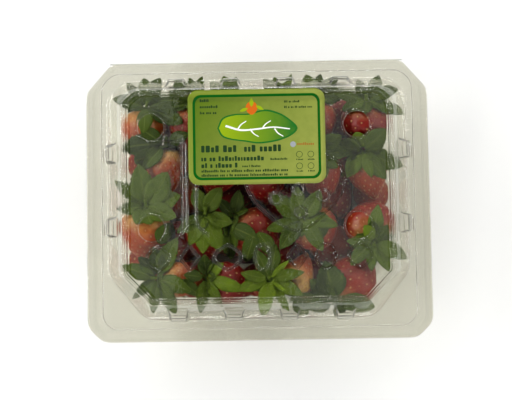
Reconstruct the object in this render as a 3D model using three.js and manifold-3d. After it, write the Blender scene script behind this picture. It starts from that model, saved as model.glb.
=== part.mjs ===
// A punnet of strawberries: a shallow clear tray, a clear domed lid hinged along its back edge,
// a paper label on the lid and the heap of berries inside.
// Millimetres. +X is to the right, +Y is towards the hinge, +Z is up.
// The origin is under the middle of the pack, on the surface it stands on.

import * as THREE from 'three';
import { mergeVertices } from 'three/addons/utils/BufferGeometryUtils.js';
import Module from 'manifold-3d';

const wasm = await Module();
wasm.setup();

// ---- driving dimensions ----------------------------------------------------

const PACK_WIDTH = 172.6;
const PACK_DEPTH = 140.4;
const SPLIT_HEIGHT = 30;
const LID_HEIGHT = 46;
const SPLIT_GAP = 0.3;
const WALL = 0.9;
// How far a cutting body runs past the face it cuts.
const CUT_PAST = 5;

const FLANGE = {
  halfWidth: PACK_WIDTH / 2, front: -PACK_DEPTH / 2, back: PACK_DEPTH / 2,
  frontCut: [8, 8], frontRadius: 9, backCut: [13, 15], backRadius: 8,
};
const LEDGE = {
  halfWidth: 78.7, front: -64.2, back: 65.0,
  frontCut: [5, 5], frontRadius: 8, backCut: [6, 6], backRadius: 9,
};
const LEDGE_RISE = 2.0;

const LID_FOOT = {
  halfWidth: 75.4, front: -59.6, back: 60.4,
  frontCut: [18, 23], frontRadius: 12, backCut: [7.5, 7.5], backRadius: 11,
};
const LID_RIM = {
  halfWidth: 67.1, front: -51.7, back: 54.1,
  frontCut: [14, 14.5], frontRadius: 5, backCut: [6.5, 6.5], backRadius: 9,
};
// How far the wall stands out from the rim where it begins to round over, and how tall the round is.
const SHOULDER_OUT = 0.9;
const RIM_ROUND = 1.4;
const RIM_WIDTH = 3.2;
// How much nearer the edge, for each millimetre of wall, the hollow under the rim ends.
const RIM_TUCK = 1.6;
const PANEL_SINK = 1.4;
const PANEL_SLOPE = 1.4;

const TRAY_MOUTH = { ...LID_FOOT, halfWidth: 75, front: -59.2, back: 60 };
const TRAY_BASE = {
  halfWidth: 69, front: -53, back: 54,
  frontCut: [16, 20], frontRadius: 9, backCut: [6.5, 6.5], backRadius: 9,
};
const BASE_ROUND = 2.5;
// The share of the wall's height, and of its lean, that the base's rounding takes.
const BASE_ROUND_SHARE = 0.08;
const BASE_RING = 8;
const BASE_RISE = 1.6;
const BASE_SLOPE = 1.5;

const VENT_DIAMETER = 12.8;
const VENT_CENTRES = [[-52.3, 35.6], [48.7, 35.6], [-52.3, -14], [48.7, -14]];

const LUG_WIDTH = 8.8;
const LUG_TOP = 41.5;
const LUG_REACH = 0.8;
const LUG_DRAFT = 1.2;
// How far a lug's edges are cut off, and how deep it runs back into the dome to join it.
const LUG_BEVEL = 0.9;
const LUG_ROOT = 9;
// How far, for each millimetre of wall, a lug's hollow starts below the ledge, so that it opens into it.
const LUG_SINK = 1.2;
const FRONT_LUG_PLACES = [-40.0, -12.8, 14.4, 41.6];
const SIDE_LUG_PLACES = [-13, 23.5];

const HINGE_LENGTH = 148;
const HINGE_BEAD_RADIUS = 1.1;
const HINGE_BEAD_Y = 67.3;
const HINGE_BEAD_ROOT = 0.4;
const HINGE_BEAD_STEPS = 6;

const LABEL = { centreX: -0.3, front: 6.7, back: 53.2, width: 67.2, radius: 5, thickness: 0.3 };
// Where the label starts to climb the rim and where it has reached the top, in front of the rim's edge.
const LABEL_CLIMB = [2.6, 0.2];
// How much of a corner's radius its cut takes, for a rounding that looks circular.
const ROUND_CUT = 0.55;
const TOUCH_GAP = 0.3;

const CORE_HEIGHT = 17;
const HEAP_SIDE_GAP = 0.6;
const HEAP_LID_GAP = 3.2;
const HEAP_TOP = 38.2;
const CORE_SIDE_GAP = 3.6;
// The heap's room in the tray ends this far below the flange and its room in the lid starts below that.
const ROOM_JOIN = [2, 3];
// The shares of the lid wall's lean at the bottom and the top of the heap's room.
const ROOM_LEAN = [0.95, 0.4];

// Each berry: middle, widest diameter, length, the way its tip points seen from above, and how far
// the tip dips below level, in degrees.
const BERRIES = [
  // the layer on top, back row
  { at: [-58.0, 34.0, 26.0], width: 23, length: 27, turn: 262, dip: 12 },
  { at: [-34.0, 35.5, 25.5], width: 23, length: 27, turn: 256, dip: 18 },
  { at: [-11.5, 37.0, 25.5], width: 21, length: 25, turn: 280, dip: 20 },
  { at: [9.0, 37.5, 25.5], width: 21, length: 25, turn: 262, dip: 25 },
  { at: [29.5, 38.0, 25.5], width: 22, length: 26, turn: 275, dip: 15 },
  { at: [55.0, 36.0, 25.5], width: 27, length: 27, turn: 268, dip: 25 },
  // second row
  { at: [-46.0, 15.0, 27.0], width: 20, length: 25, turn: 272, dip: 4 },
  { at: [-21.0, 14.0, 25.5], width: 24, length: 27, turn: 250, dip: 25 },
  { at: [4.0, 10.0, 25.0], width: 24, length: 27, turn: 275, dip: 25 },
  { at: [31.5, 11.0, 25.5], width: 24, length: 27, turn: 282, dip: 18 },
  { at: [56.0, 11.0, 26.0], width: 21, length: 25, turn: 286, dip: 14 },
  // third row
  { at: [-58.0, -16.5, 25.0], width: 27, length: 28, turn: 264, dip: 22 },
  { at: [-26.0, -19.0, 24.5], width: 22, length: 26, turn: 274, dip: 30 },
  { at: [-0.5, -17.5, 26.0], width: 25, length: 29, turn: 322, dip: 6 },
  { at: [28.5, -16.3, 25.0], width: 25, length: 27, turn: 320, dip: 52 },
  { at: [56.5, -12.0, 25.0], width: 26, length: 27, turn: 92, dip: 44 },
  // front row
  { at: [-50.0, -43.0, 15.0], width: 18, length: 20, turn: 205, dip: 20 },
  { at: [-38.5, -39.5, 27.5], width: 18, length: 24, turn: 354, dip: 6 },
  { at: [-13.5, -41.5, 25.5], width: 22, length: 26, turn: 348, dip: 8 },
  { at: [6.0, -42.0, 22.0], width: 20, length: 22, turn: 300, dip: 78 },
  { at: [20.5, -37.5, 26.0], width: 17, length: 23, turn: 70, dip: 12 },
  { at: [47.5, -39.5, 24.5], width: 27, length: 29, turn: 50, dip: 4 },
  // the layer under it, along the walls
  { at: [-31.0, -39.5, 11.5], width: 20, length: 23, turn: 10, dip: 0 },
  { at: [-2.0, -40.0, 11.5], width: 20, length: 24, turn: 184, dip: 0 },
  { at: [27.0, -39.5, 11.5], width: 20, length: 23, turn: 352, dip: 0 },
  { at: [-57.0, -27.0, 11.5], width: 20, length: 22, turn: 80, dip: 0 },
  { at: [-59.0, 0.0, 11.5], width: 19, length: 23, turn: 265, dip: 0 },
  { at: [-58.5, 23.0, 11.5], width: 19, length: 22, turn: 100, dip: 0 },
  { at: [57.5, -24.0, 11.5], width: 20, length: 22, turn: 60, dip: 0 },
  { at: [59.0, 1.0, 11.5], width: 19, length: 23, turn: 275, dip: 0 },
  { at: [58.5, 24.0, 11.5], width: 19, length: 22, turn: 85, dip: 0 },
  { at: [-44.0, 42.5, 11.5], width: 20, length: 23, turn: 178, dip: 0 },
  { at: [-21.5, 43.0, 11.5], width: 19, length: 22, turn: 8, dip: 0 },
  { at: [1.0, 43.0, 11.5], width: 19, length: 22, turn: 172, dip: 0 },
  { at: [22.5, 43.0, 11.5], width: 19, length: 22, turn: 3, dip: 0 },
  { at: [44.0, 42.5, 11.5], width: 20, length: 23, turn: 186, dip: 0 },
];
const CALYX_RADIUS = 0.5;
const CALYX_THICKNESS = 2.4;
const CALYX_RISE = 0.6;
const CALYX_MIDDLE = 1.5;

const CORNER_STEPS = 3;
const BERRY_SIDES = 8;
const BERRY_RINGS = 6;
const CALYX_SIDES = 6;
const HOLE_SIDES = 24;

// ---- materials -------------------------------------------------------------

const clearPlastic = () => new THREE.MeshStandardMaterial({
  color: 0xd8dcd6, roughness: 0.08, metalness: 0, transparent: true, opacity: 0.35,
});
const labelPaper = () => new THREE.MeshStandardMaterial({ color: 0x9aae3c, roughness: 0.45, metalness: 0 });
const berryFlesh = () => new THREE.MeshStandardMaterial({ color: 0xb01a12, roughness: 0.4, metalness: 0 });

// ---- outlines --------------------------------------------------------------

// The eight corners of an outline, two for each cut-off corner of the pack, each with its rounding.
// The outline is moved in by the given inset.
function cornersOf(plan, inset = 0) {
  const side = plan.halfWidth - inset;
  const front = plan.front + inset;
  const back = plan.back - inset;
  const moved = ([along, across]) => {
    const slant = Math.hypot(along, across);
    return [
      Math.max(along - inset * (along + across - slant) / across, 0.4),
      Math.max(across - inset * (along + across - slant) / along, 0.4),
    ];
  };
  const [frontX, frontY] = moved(plan.frontCut);
  const [backX, backY] = moved(plan.backCut);
  const frontRadius = Math.max(plan.frontRadius - inset, 0.6);
  const backRadius = Math.max(plan.backRadius - inset, 0.6);
  return [
    { x: side, y: front + frontY, radius: frontRadius },
    { x: side, y: back - backY, radius: backRadius },
    { x: side - backX, y: back, radius: backRadius },
    { x: -side + backX, y: back, radius: backRadius },
    { x: -side, y: back - backY, radius: backRadius },
    { x: -side, y: front + frontY, radius: frontRadius },
    { x: -side + frontX, y: front, radius: frontRadius },
    { x: side - frontX, y: front, radius: frontRadius },
  ];
}

// An outline as points, counter-clockwise, with every corner rounded by an arc of a fixed number of steps.
function outlinePoints(plan, inset = 0) {
  const corners = cornersOf(plan, inset);
  const points = [];
  corners.forEach((corner, index) => {
    const here = new THREE.Vector2(corner.x, corner.y);
    const before = corners[(index + corners.length - 1) % corners.length];
    const after = corners[(index + 1) % corners.length];
    const toBefore = new THREE.Vector2(before.x, before.y).sub(here);
    const toAfter = new THREE.Vector2(after.x, after.y).sub(here);
    const room = 0.49 * Math.min(toBefore.length(), toAfter.length());
    toBefore.normalize();
    toAfter.normalize();
    const halfAngle = Math.acos(THREE.MathUtils.clamp(toBefore.dot(toAfter), -1, 1)) / 2;
    const reach = Math.min(corner.radius / Math.tan(halfAngle), room);
    const start = here.clone().addScaledVector(toBefore, reach);
    const end = here.clone().addScaledVector(toAfter, reach);
    const arc = new THREE.QuadraticBezierCurve(start, here, end);
    points.push(...arc.getPoints(CORNER_STEPS));
  });
  return points;
}

// Two outlines mixed point by point, for the walls between them.
function mixedOutline(low, high, share, inset = 0) {
  const a = outlinePoints(low, inset);
  const b = outlinePoints(high, inset);
  return a.map((point, index) => point.clone().lerp(b[index], share));
}

// ---- solids ----------------------------------------------------------------

function solidOf(geometry) {
  geometry.deleteAttribute('normal');
  geometry.deleteAttribute('uv');
  const merged = mergeVertices(geometry, 1e-4);
  return new wasm.Manifold(new wasm.Mesh({
    numProp: 3,
    vertProperties: new Float32Array(merged.attributes.position.array),
    triVerts: new Uint32Array(merged.index.array),
  }));
}

function geometryOf(solid) {
  const mesh = solid.getMesh();
  const geometry = new THREE.BufferGeometry();
  geometry.setAttribute('position', new THREE.BufferAttribute(new Float32Array(mesh.vertProperties), 3));
  geometry.setIndex(new THREE.BufferAttribute(new Uint32Array(mesh.triVerts), 1));
  geometry.computeVertexNormals();
  return geometry;
}

// A closed body from rings of equally many points, each ring at its height, with flat ends.
function stackOfRings(rings) {
  const count = rings[0].outline.length;
  const positions = [];
  for (const ring of rings) {
    for (const point of ring.outline) {
      positions.push(point.x, point.y, ring.z);
    }
  }
  const indices = [];
  for (let level = 0; level < rings.length - 1; level++) {
    for (let i = 0; i < count; i++) {
      const low = level * count + i;
      const lowNext = level * count + (i + 1) % count;
      indices.push(low, lowNext, lowNext + count, low, lowNext + count, low + count);
    }
  }
  const top = (rings.length - 1) * count;
  for (const [a, b, c] of THREE.ShapeUtils.triangulateShape(rings[0].outline, [])) {
    indices.push(a, c, b);
  }
  for (const [a, b, c] of THREE.ShapeUtils.triangulateShape(rings[rings.length - 1].outline, [])) {
    indices.push(top + a, top + b, top + c);
  }
  const geometry = new THREE.BufferGeometry();
  geometry.setAttribute('position', new THREE.Float32BufferAttribute(positions, 3));
  geometry.setIndex(indices);
  return solidOf(geometry);
}

// A straight-sided plate of the given outline between two heights.
function plate(plan, inset, low, high) {
  const outline = outlinePoints(plan, inset);
  return stackOfRings([{ outline, z: low }, { outline, z: high }]);
}

function roundBar(diameter, low, high, x, y) {
  const geometry = new THREE.CylinderGeometry(diameter / 2, diameter / 2, high - low, HOLE_SIDES);
  geometry.rotateX(Math.PI / 2);
  geometry.translate(x, y, (low + high) / 2);
  return solidOf(geometry);
}

function joined(solids) {
  return solids.reduce((sum, solid) => sum.add(solid));
}

// ---- lid -------------------------------------------------------------------

// The dome as a filled body: the outer skin with no inset, the hollow with the wall's thickness.
function domeBody(inset, floor) {
  const top = LID_HEIGHT - inset;
  const shoulder = (out, z) => ({
    outline: mixedOutline(LID_RIM, LID_FOOT, out / (LID_FOOT.halfWidth - LID_RIM.halfWidth), inset), z,
  });
  const foot = mixedOutline(LID_RIM, LID_FOOT, 1, inset);
  const onRim = (inward, z) => ({ outline: outlinePoints(LID_RIM, inset + inward), z });
  return stackOfRings([
    { outline: foot, z: floor },
    { outline: foot, z: SPLIT_HEIGHT + LEDGE_RISE - inset },
    shoulder(SHOULDER_OUT, top - RIM_ROUND),
    onRim(RIM_ROUND / 7, top - RIM_ROUND / 3),
    onRim(RIM_ROUND, top),
    onRim(RIM_WIDTH - RIM_TUCK * inset, top),
    onRim(RIM_WIDTH + PANEL_SLOPE - RIM_TUCK * inset, top - PANEL_SINK),
  ]);
}

// A lug that stands out of the dome's wall, tapering upwards.
// It is drawn at the front and turned into place.
function lugBody(inset, turn, distance, along) {
  const halfWidth = LUG_WIDTH / 2 - inset;
  const foot = SPLIT_HEIGHT + LEDGE_RISE - LUG_SINK * inset;
  const ring = (face, half, z) => ({
    outline: [
      new THREE.Vector2(along - half, -face + LUG_BEVEL),
      new THREE.Vector2(along - half + LUG_BEVEL, -face),
      new THREE.Vector2(along + half - LUG_BEVEL, -face),
      new THREE.Vector2(along + half, -face + LUG_BEVEL),
      new THREE.Vector2(along + half, -distance + LUG_ROOT),
      new THREE.Vector2(along - half, -distance + LUG_ROOT),
    ],
    z,
  });
  const face = distance + LUG_REACH - inset;
  const body = stackOfRings([
    ring(face, halfWidth, foot),
    ring(face - LUG_DRAFT, halfWidth - LUG_BEVEL / 2, LUG_TOP - inset - LUG_BEVEL),
    ring(face - LUG_DRAFT - LUG_BEVEL, halfWidth - LUG_BEVEL, LUG_TOP - inset),
  ]);
  return body.rotate([0, 0, turn]);
}

function allLugs(inset) {
  const lugs = [];
  for (const place of FRONT_LUG_PLACES) {
    lugs.push(lugBody(inset, 0, -LID_FOOT.front, place));
    lugs.push(lugBody(inset, 180, LID_FOOT.back, -place));
  }
  for (const place of SIDE_LUG_PLACES) {
    lugs.push(lugBody(inset, 90, LID_FOOT.halfWidth, place));
    lugs.push(lugBody(inset, 270, LID_FOOT.halfWidth, -place));
  }
  return lugs;
}

// A half-round bead along the hinge, above or below the flange it strengthens.
function hingeBead(face, side) {
  const shape = new THREE.Shape();
  shape.moveTo(-HINGE_BEAD_RADIUS, -HINGE_BEAD_ROOT * side);
  shape.lineTo(-HINGE_BEAD_RADIUS, 0);
  for (let step = 1; step < HINGE_BEAD_STEPS; step++) {
    const angle = Math.PI * (1 - step / HINGE_BEAD_STEPS);
    shape.lineTo(HINGE_BEAD_RADIUS * Math.cos(angle), side * HINGE_BEAD_RADIUS * Math.sin(angle));
  }
  shape.lineTo(HINGE_BEAD_RADIUS, 0);
  shape.lineTo(HINGE_BEAD_RADIUS, -HINGE_BEAD_ROOT * side);
  const geometry = new THREE.ExtrudeGeometry(shape, { depth: HINGE_LENGTH, bevelEnabled: false });
  geometry.rotateX(Math.PI / 2);
  geometry.rotateZ(Math.PI / 2);
  geometry.translate(-HINGE_LENGTH / 2, HINGE_BEAD_Y, face);
  return solidOf(geometry);
}

function lidGeometry() {
  const flangeLow = SPLIT_HEIGHT + SPLIT_GAP / 2;
  const ledgeTop = SPLIT_HEIGHT + LEDGE_RISE;
  const below = SPLIT_HEIGHT - CUT_PAST;
  const skin = joined([
    plate(FLANGE, 0, flangeLow, flangeLow + WALL),
    plate(LEDGE, 0, flangeLow, ledgeTop),
    domeBody(0, flangeLow),
    ...allLugs(0),
    hingeBead(flangeLow + WALL, 1),
  ]);
  const hollow = joined([
    plate(LEDGE, WALL, below, ledgeTop - WALL),
    domeBody(WALL, below),
    ...allLugs(WALL),
  ]);
  const ventTop = LID_HEIGHT + CUT_PAST;
  const vents = VENT_CENTRES.map(([x, y]) => roundBar(VENT_DIAMETER, SPLIT_HEIGHT, ventTop, x, y));
  return geometryOf(skin.subtract(hollow).subtract(joined(vents)));
}

// ---- tray ------------------------------------------------------------------

function trayBody(inset, top) {
  return stackOfRings([
    { outline: outlinePoints(TRAY_BASE, inset + BASE_ROUND / 2), z: inset },
    { outline: outlinePoints(TRAY_BASE, inset + BASE_ROUND / 8), z: inset + BASE_ROUND / 2 },
    { outline: mixedOutline(TRAY_BASE, TRAY_MOUTH, BASE_ROUND_SHARE, inset), z: inset + BASE_ROUND },
    { outline: outlinePoints(TRAY_MOUTH, inset), z: SPLIT_HEIGHT - SPLIT_GAP / 2 - WALL },
    { outline: outlinePoints(TRAY_MOUTH, inset), z: top },
  ]);
}

// The middle of the base stands up, so that the pack rests on a ring.
function baseRecess(grow) {
  return stackOfRings([
    { outline: outlinePoints(TRAY_BASE, BASE_RING - grow), z: grow > 0 ? 0 : -1 },
    { outline: outlinePoints(TRAY_BASE, BASE_RING + BASE_SLOPE - grow), z: BASE_RISE + grow },
  ]);
}

function trayGeometry() {
  const flangeTop = SPLIT_HEIGHT - SPLIT_GAP / 2;
  const skin = joined([
    trayBody(0, flangeTop),
    plate(FLANGE, 0, flangeTop - WALL, flangeTop),
    hingeBead(flangeTop - WALL, -1),
  ]);
  const hollow = trayBody(WALL, SPLIT_HEIGHT + CUT_PAST).subtract(baseRecess(WALL));
  return geometryOf(skin.subtract(hollow).subtract(baseRecess(0)));
}

// ---- label -----------------------------------------------------------------

// The label lies on the sunken panel and laps up over the rim at the back.
function labelGeometry() {
  const onPanel = LID_HEIGHT - PANEL_SINK + TOUCH_GAP;
  const onRim = LID_HEIGHT + TOUCH_GAP;
  const rimEdge = LID_RIM.back - RIM_WIDTH - PANEL_SLOPE;
  const line = [
    [LABEL.front - 1, onPanel],
    [rimEdge - LABEL_CLIMB[0], onPanel],
    [rimEdge - LABEL_CLIMB[1], onRim],
    [LABEL.back + 1, onRim],
  ];
  const shape = new THREE.Shape();
  shape.moveTo(line[0][0], line[0][1]);
  line.slice(1).forEach(([y, z]) => shape.lineTo(y, z));
  [...line].reverse().forEach(([y, z]) => shape.lineTo(y, z + LABEL.thickness));
  const strip = new THREE.ExtrudeGeometry(shape, { depth: LABEL.width + 2, bevelEnabled: false });
  strip.rotateX(Math.PI / 2);
  strip.rotateZ(Math.PI / 2);
  strip.translate(LABEL.centreX - LABEL.width / 2 - 1, 0, 0);
  const cut = LABEL.radius * ROUND_CUT;
  const cutter = plate({
    halfWidth: LABEL.width / 2, front: LABEL.front, back: LABEL.back,
    frontCut: [cut, cut], frontRadius: LABEL.radius, backCut: [cut, cut], backRadius: LABEL.radius,
  }, 0, SPLIT_HEIGHT, LID_HEIGHT + CUT_PAST);
  return geometryOf(solidOf(strip).intersect(cutter.translate([LABEL.centreX, 0, 0])));
}

// ---- berries ---------------------------------------------------------------

// A berry's half-width at a share of its length, from the crown at 0 to the tip at 1.
const berryWidth = (share) => Math.sin(Math.PI * share ** 0.72) ** 0.72 * (1 - 0.12 * share);

// The turn that takes a berry drawn along +Z, tip up, to the way it lies.
function lyingTurn(berry) {
  const turn = THREE.MathUtils.degToRad(berry.turn);
  const dip = THREE.MathUtils.degToRad(berry.dip);
  const tip = new THREE.Vector3(
    Math.cos(turn) * Math.cos(dip), Math.sin(turn) * Math.cos(dip), -Math.sin(dip),
  );
  return new THREE.Quaternion().setFromUnitVectors(new THREE.Vector3(0, 0, 1), tip);
}

function berryBody(berry) {
  const profile = [];
  for (let i = 0; i <= BERRY_RINGS; i++) {
    const share = i / BERRY_RINGS;
    const atEnd = i === 0 || i === BERRY_RINGS;
    const radius = atEnd ? 0 : berry.width / 2 * berryWidth(share);
    profile.push(new THREE.Vector2(radius, (share - 0.5) * berry.length));
  }
  const geometry = new THREE.LatheGeometry(profile, BERRY_SIDES);
  geometry.rotateX(Math.PI / 2);
  geometry.applyQuaternion(lyingTurn(berry));
  geometry.translate(...berry.at);
  return solidOf(geometry);
}

// The leaf ring at a berry's crown, as a shallow cone.
function calyxBody(berry) {
  const radius = berry.width * CALYX_RADIUS;
  const geometry = new THREE.CylinderGeometry(radius, CALYX_MIDDLE, CALYX_THICKNESS, CALYX_SIDES);
  geometry.rotateX(Math.PI / 2);
  geometry.translate(0, 0, -berry.length / 2 + CALYX_THICKNESS / 2 - CALYX_RISE);
  geometry.applyQuaternion(lyingTurn(berry));
  geometry.translate(...berry.at);
  return solidOf(geometry);
}

// All the room the heap may take: the tray's hollow and, above it, the lid's with more clearance,
// because the lid's front wall leans back over the heap as it opens.
function heapRoom() {
  const trayInset = WALL + HEAP_SIDE_GAP;
  const inTray = trayBody(trayInset, SPLIT_HEIGHT - ROOM_JOIN[0]).subtract(baseRecess(trayInset));
  const lidInset = WALL + HEAP_LID_GAP;
  const inLid = stackOfRings([
    { outline: mixedOutline(LID_RIM, LID_FOOT, ROOM_LEAN[0], lidInset), z: SPLIT_HEIGHT - ROOM_JOIN[1] },
    { outline: mixedOutline(LID_RIM, LID_FOOT, ROOM_LEAN[1], lidInset), z: HEAP_TOP },
  ]);
  return inTray.add(inLid);
}

function berriesGeometry() {
  const core = trayBody(WALL + CORE_SIDE_GAP, SPLIT_HEIGHT)
    .intersect(plate(TRAY_MOUTH, 0, -1, CORE_HEIGHT));
  const onTop = BERRIES.filter((berry) => berry.at[2] > CORE_HEIGHT);
  const heap = joined([core, ...BERRIES.map(berryBody), ...onTop.map(calyxBody)]);
  return geometryOf(heap.intersect(heapRoom()));
}

// ---- the part --------------------------------------------------------------

const group = new THREE.Group();

function addPart(name, geometry, material) {
  const mesh = new THREE.Mesh(geometry, material);
  mesh.name = name;
  group.add(mesh);
}

addPart('tray', trayGeometry(), clearPlastic());
addPart('lid', lidGeometry(), clearPlastic());
addPart('label', labelGeometry(), labelPaper());
addPart('berries', berriesGeometry(), berryFlesh());

export default group;
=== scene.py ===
"""A clear hinged punnet of strawberries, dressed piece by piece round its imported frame.

Run as a script. Each operator makes one piece or one group of like pieces, the panel lists them,
and main() calls them in order. Lengths in the tables are millimetres, turned to metres by MM.
"""

import math

import bmesh
import bpy
import numpy as np
from mathutils import Matrix, Vector
from mathutils.geometry import delaunay_2d_cdt


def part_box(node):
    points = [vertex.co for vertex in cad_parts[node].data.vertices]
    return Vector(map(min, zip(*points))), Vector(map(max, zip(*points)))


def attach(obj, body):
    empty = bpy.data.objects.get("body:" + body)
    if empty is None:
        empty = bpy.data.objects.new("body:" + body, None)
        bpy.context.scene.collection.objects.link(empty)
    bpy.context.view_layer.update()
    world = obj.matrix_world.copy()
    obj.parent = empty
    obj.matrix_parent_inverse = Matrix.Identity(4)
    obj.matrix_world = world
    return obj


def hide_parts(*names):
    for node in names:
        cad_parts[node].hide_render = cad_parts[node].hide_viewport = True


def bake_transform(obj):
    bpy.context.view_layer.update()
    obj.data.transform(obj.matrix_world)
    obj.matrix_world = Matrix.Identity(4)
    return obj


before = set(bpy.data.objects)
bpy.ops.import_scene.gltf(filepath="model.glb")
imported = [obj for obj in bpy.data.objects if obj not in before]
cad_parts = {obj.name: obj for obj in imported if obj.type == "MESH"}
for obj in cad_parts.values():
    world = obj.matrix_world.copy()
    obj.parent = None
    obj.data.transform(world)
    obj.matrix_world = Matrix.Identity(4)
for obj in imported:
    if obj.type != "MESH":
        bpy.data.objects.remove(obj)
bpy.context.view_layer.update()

bl_info = {
    "name": "Strawberry Punnet",
    "version": (1, 0, 0),
    "blender": (4, 5, 0),
    "location": "View3D > Sidebar > Punnet",
    "description": "Builds a clear hinged punnet of strawberries round its packed frame",
    "category": "Object",
}

MM = 0.001

# ---- the pack's sizes, from the frame ---------------------------------------

TRAY_LOW, TRAY_HIGH = (np.array(corner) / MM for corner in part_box("tray"))
LID_LOW, LID_HIGH = (np.array(corner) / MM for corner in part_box("lid"))
HALF_WIDTH = float(TRAY_HIGH[0])
FRONT = float(TRAY_LOW[1])
BACK = float(TRAY_HIGH[1])
SPLIT = float(TRAY_HIGH[2] + LID_LOW[2]) / 2
LID_TOP = float(LID_HIGH[2])
TRAY_FACE = float(TRAY_HIGH[2])
FILM = 0.35

PANEL_SINK = 1.4
PANEL_TOP = LID_TOP - PANEL_SINK
LEDGE_TOP = SPLIT + 2.0
LID_FLANGE = SPLIT + 0.55


def plan(side, front, back, front_cut, front_radius, back_cut, back_radius):
    """An outline of the pack, as insets from its outermost edge, with its corners' cuts and roundings."""
    return {
        "side": HALF_WIDTH - side, "front": FRONT + front, "back": BACK - back,
        "front_cut": front_cut, "front_radius": front_radius,
        "back_cut": back_cut, "back_radius": back_radius,
    }


FLANGE = plan(0, 0, 0, (8, 8), 9, (13, 15), 8)
LEDGE = plan(7.6, 6.0, 5.2, (5, 5), 8, (6, 6), 9)
FOOT = plan(10.9, 10.6, 9.8, (18, 23), 12, (7.5, 7.5), 11)
RIM = plan(19.2, 18.5, 16.1, (14, 14.5), 5, (6.5, 6.5), 9)
MOUTH = plan(11.3, 11.0, 10.2, (18, 23), 12, (7.5, 7.5), 11)
BASE = plan(17.3, 17.2, 16.2, (16, 20), 9, (6.5, 6.5), 9)

VENT_RADIUS = 6.4
VENTS = [(-52.3, 35.6), (48.7, 35.6), (-52.3, -14.0), (48.7, -14.0)]
LUG_TOP = 41.5
LUG_HALF = 4.4
END_LUGS = (-40.0, -12.8, 14.4, 41.6)
SIDE_LUGS = (-13.0, 23.5)
HINGE_HALF = 74.0
BASE_RISE = 1.6
HINGE_FILM = 0.1

LABEL_MIDDLE = (-0.3, 29.95)
LABEL_HALF = (33.6, 23.25)

# ---- the fruit ----------------------------------------------------------------

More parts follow.
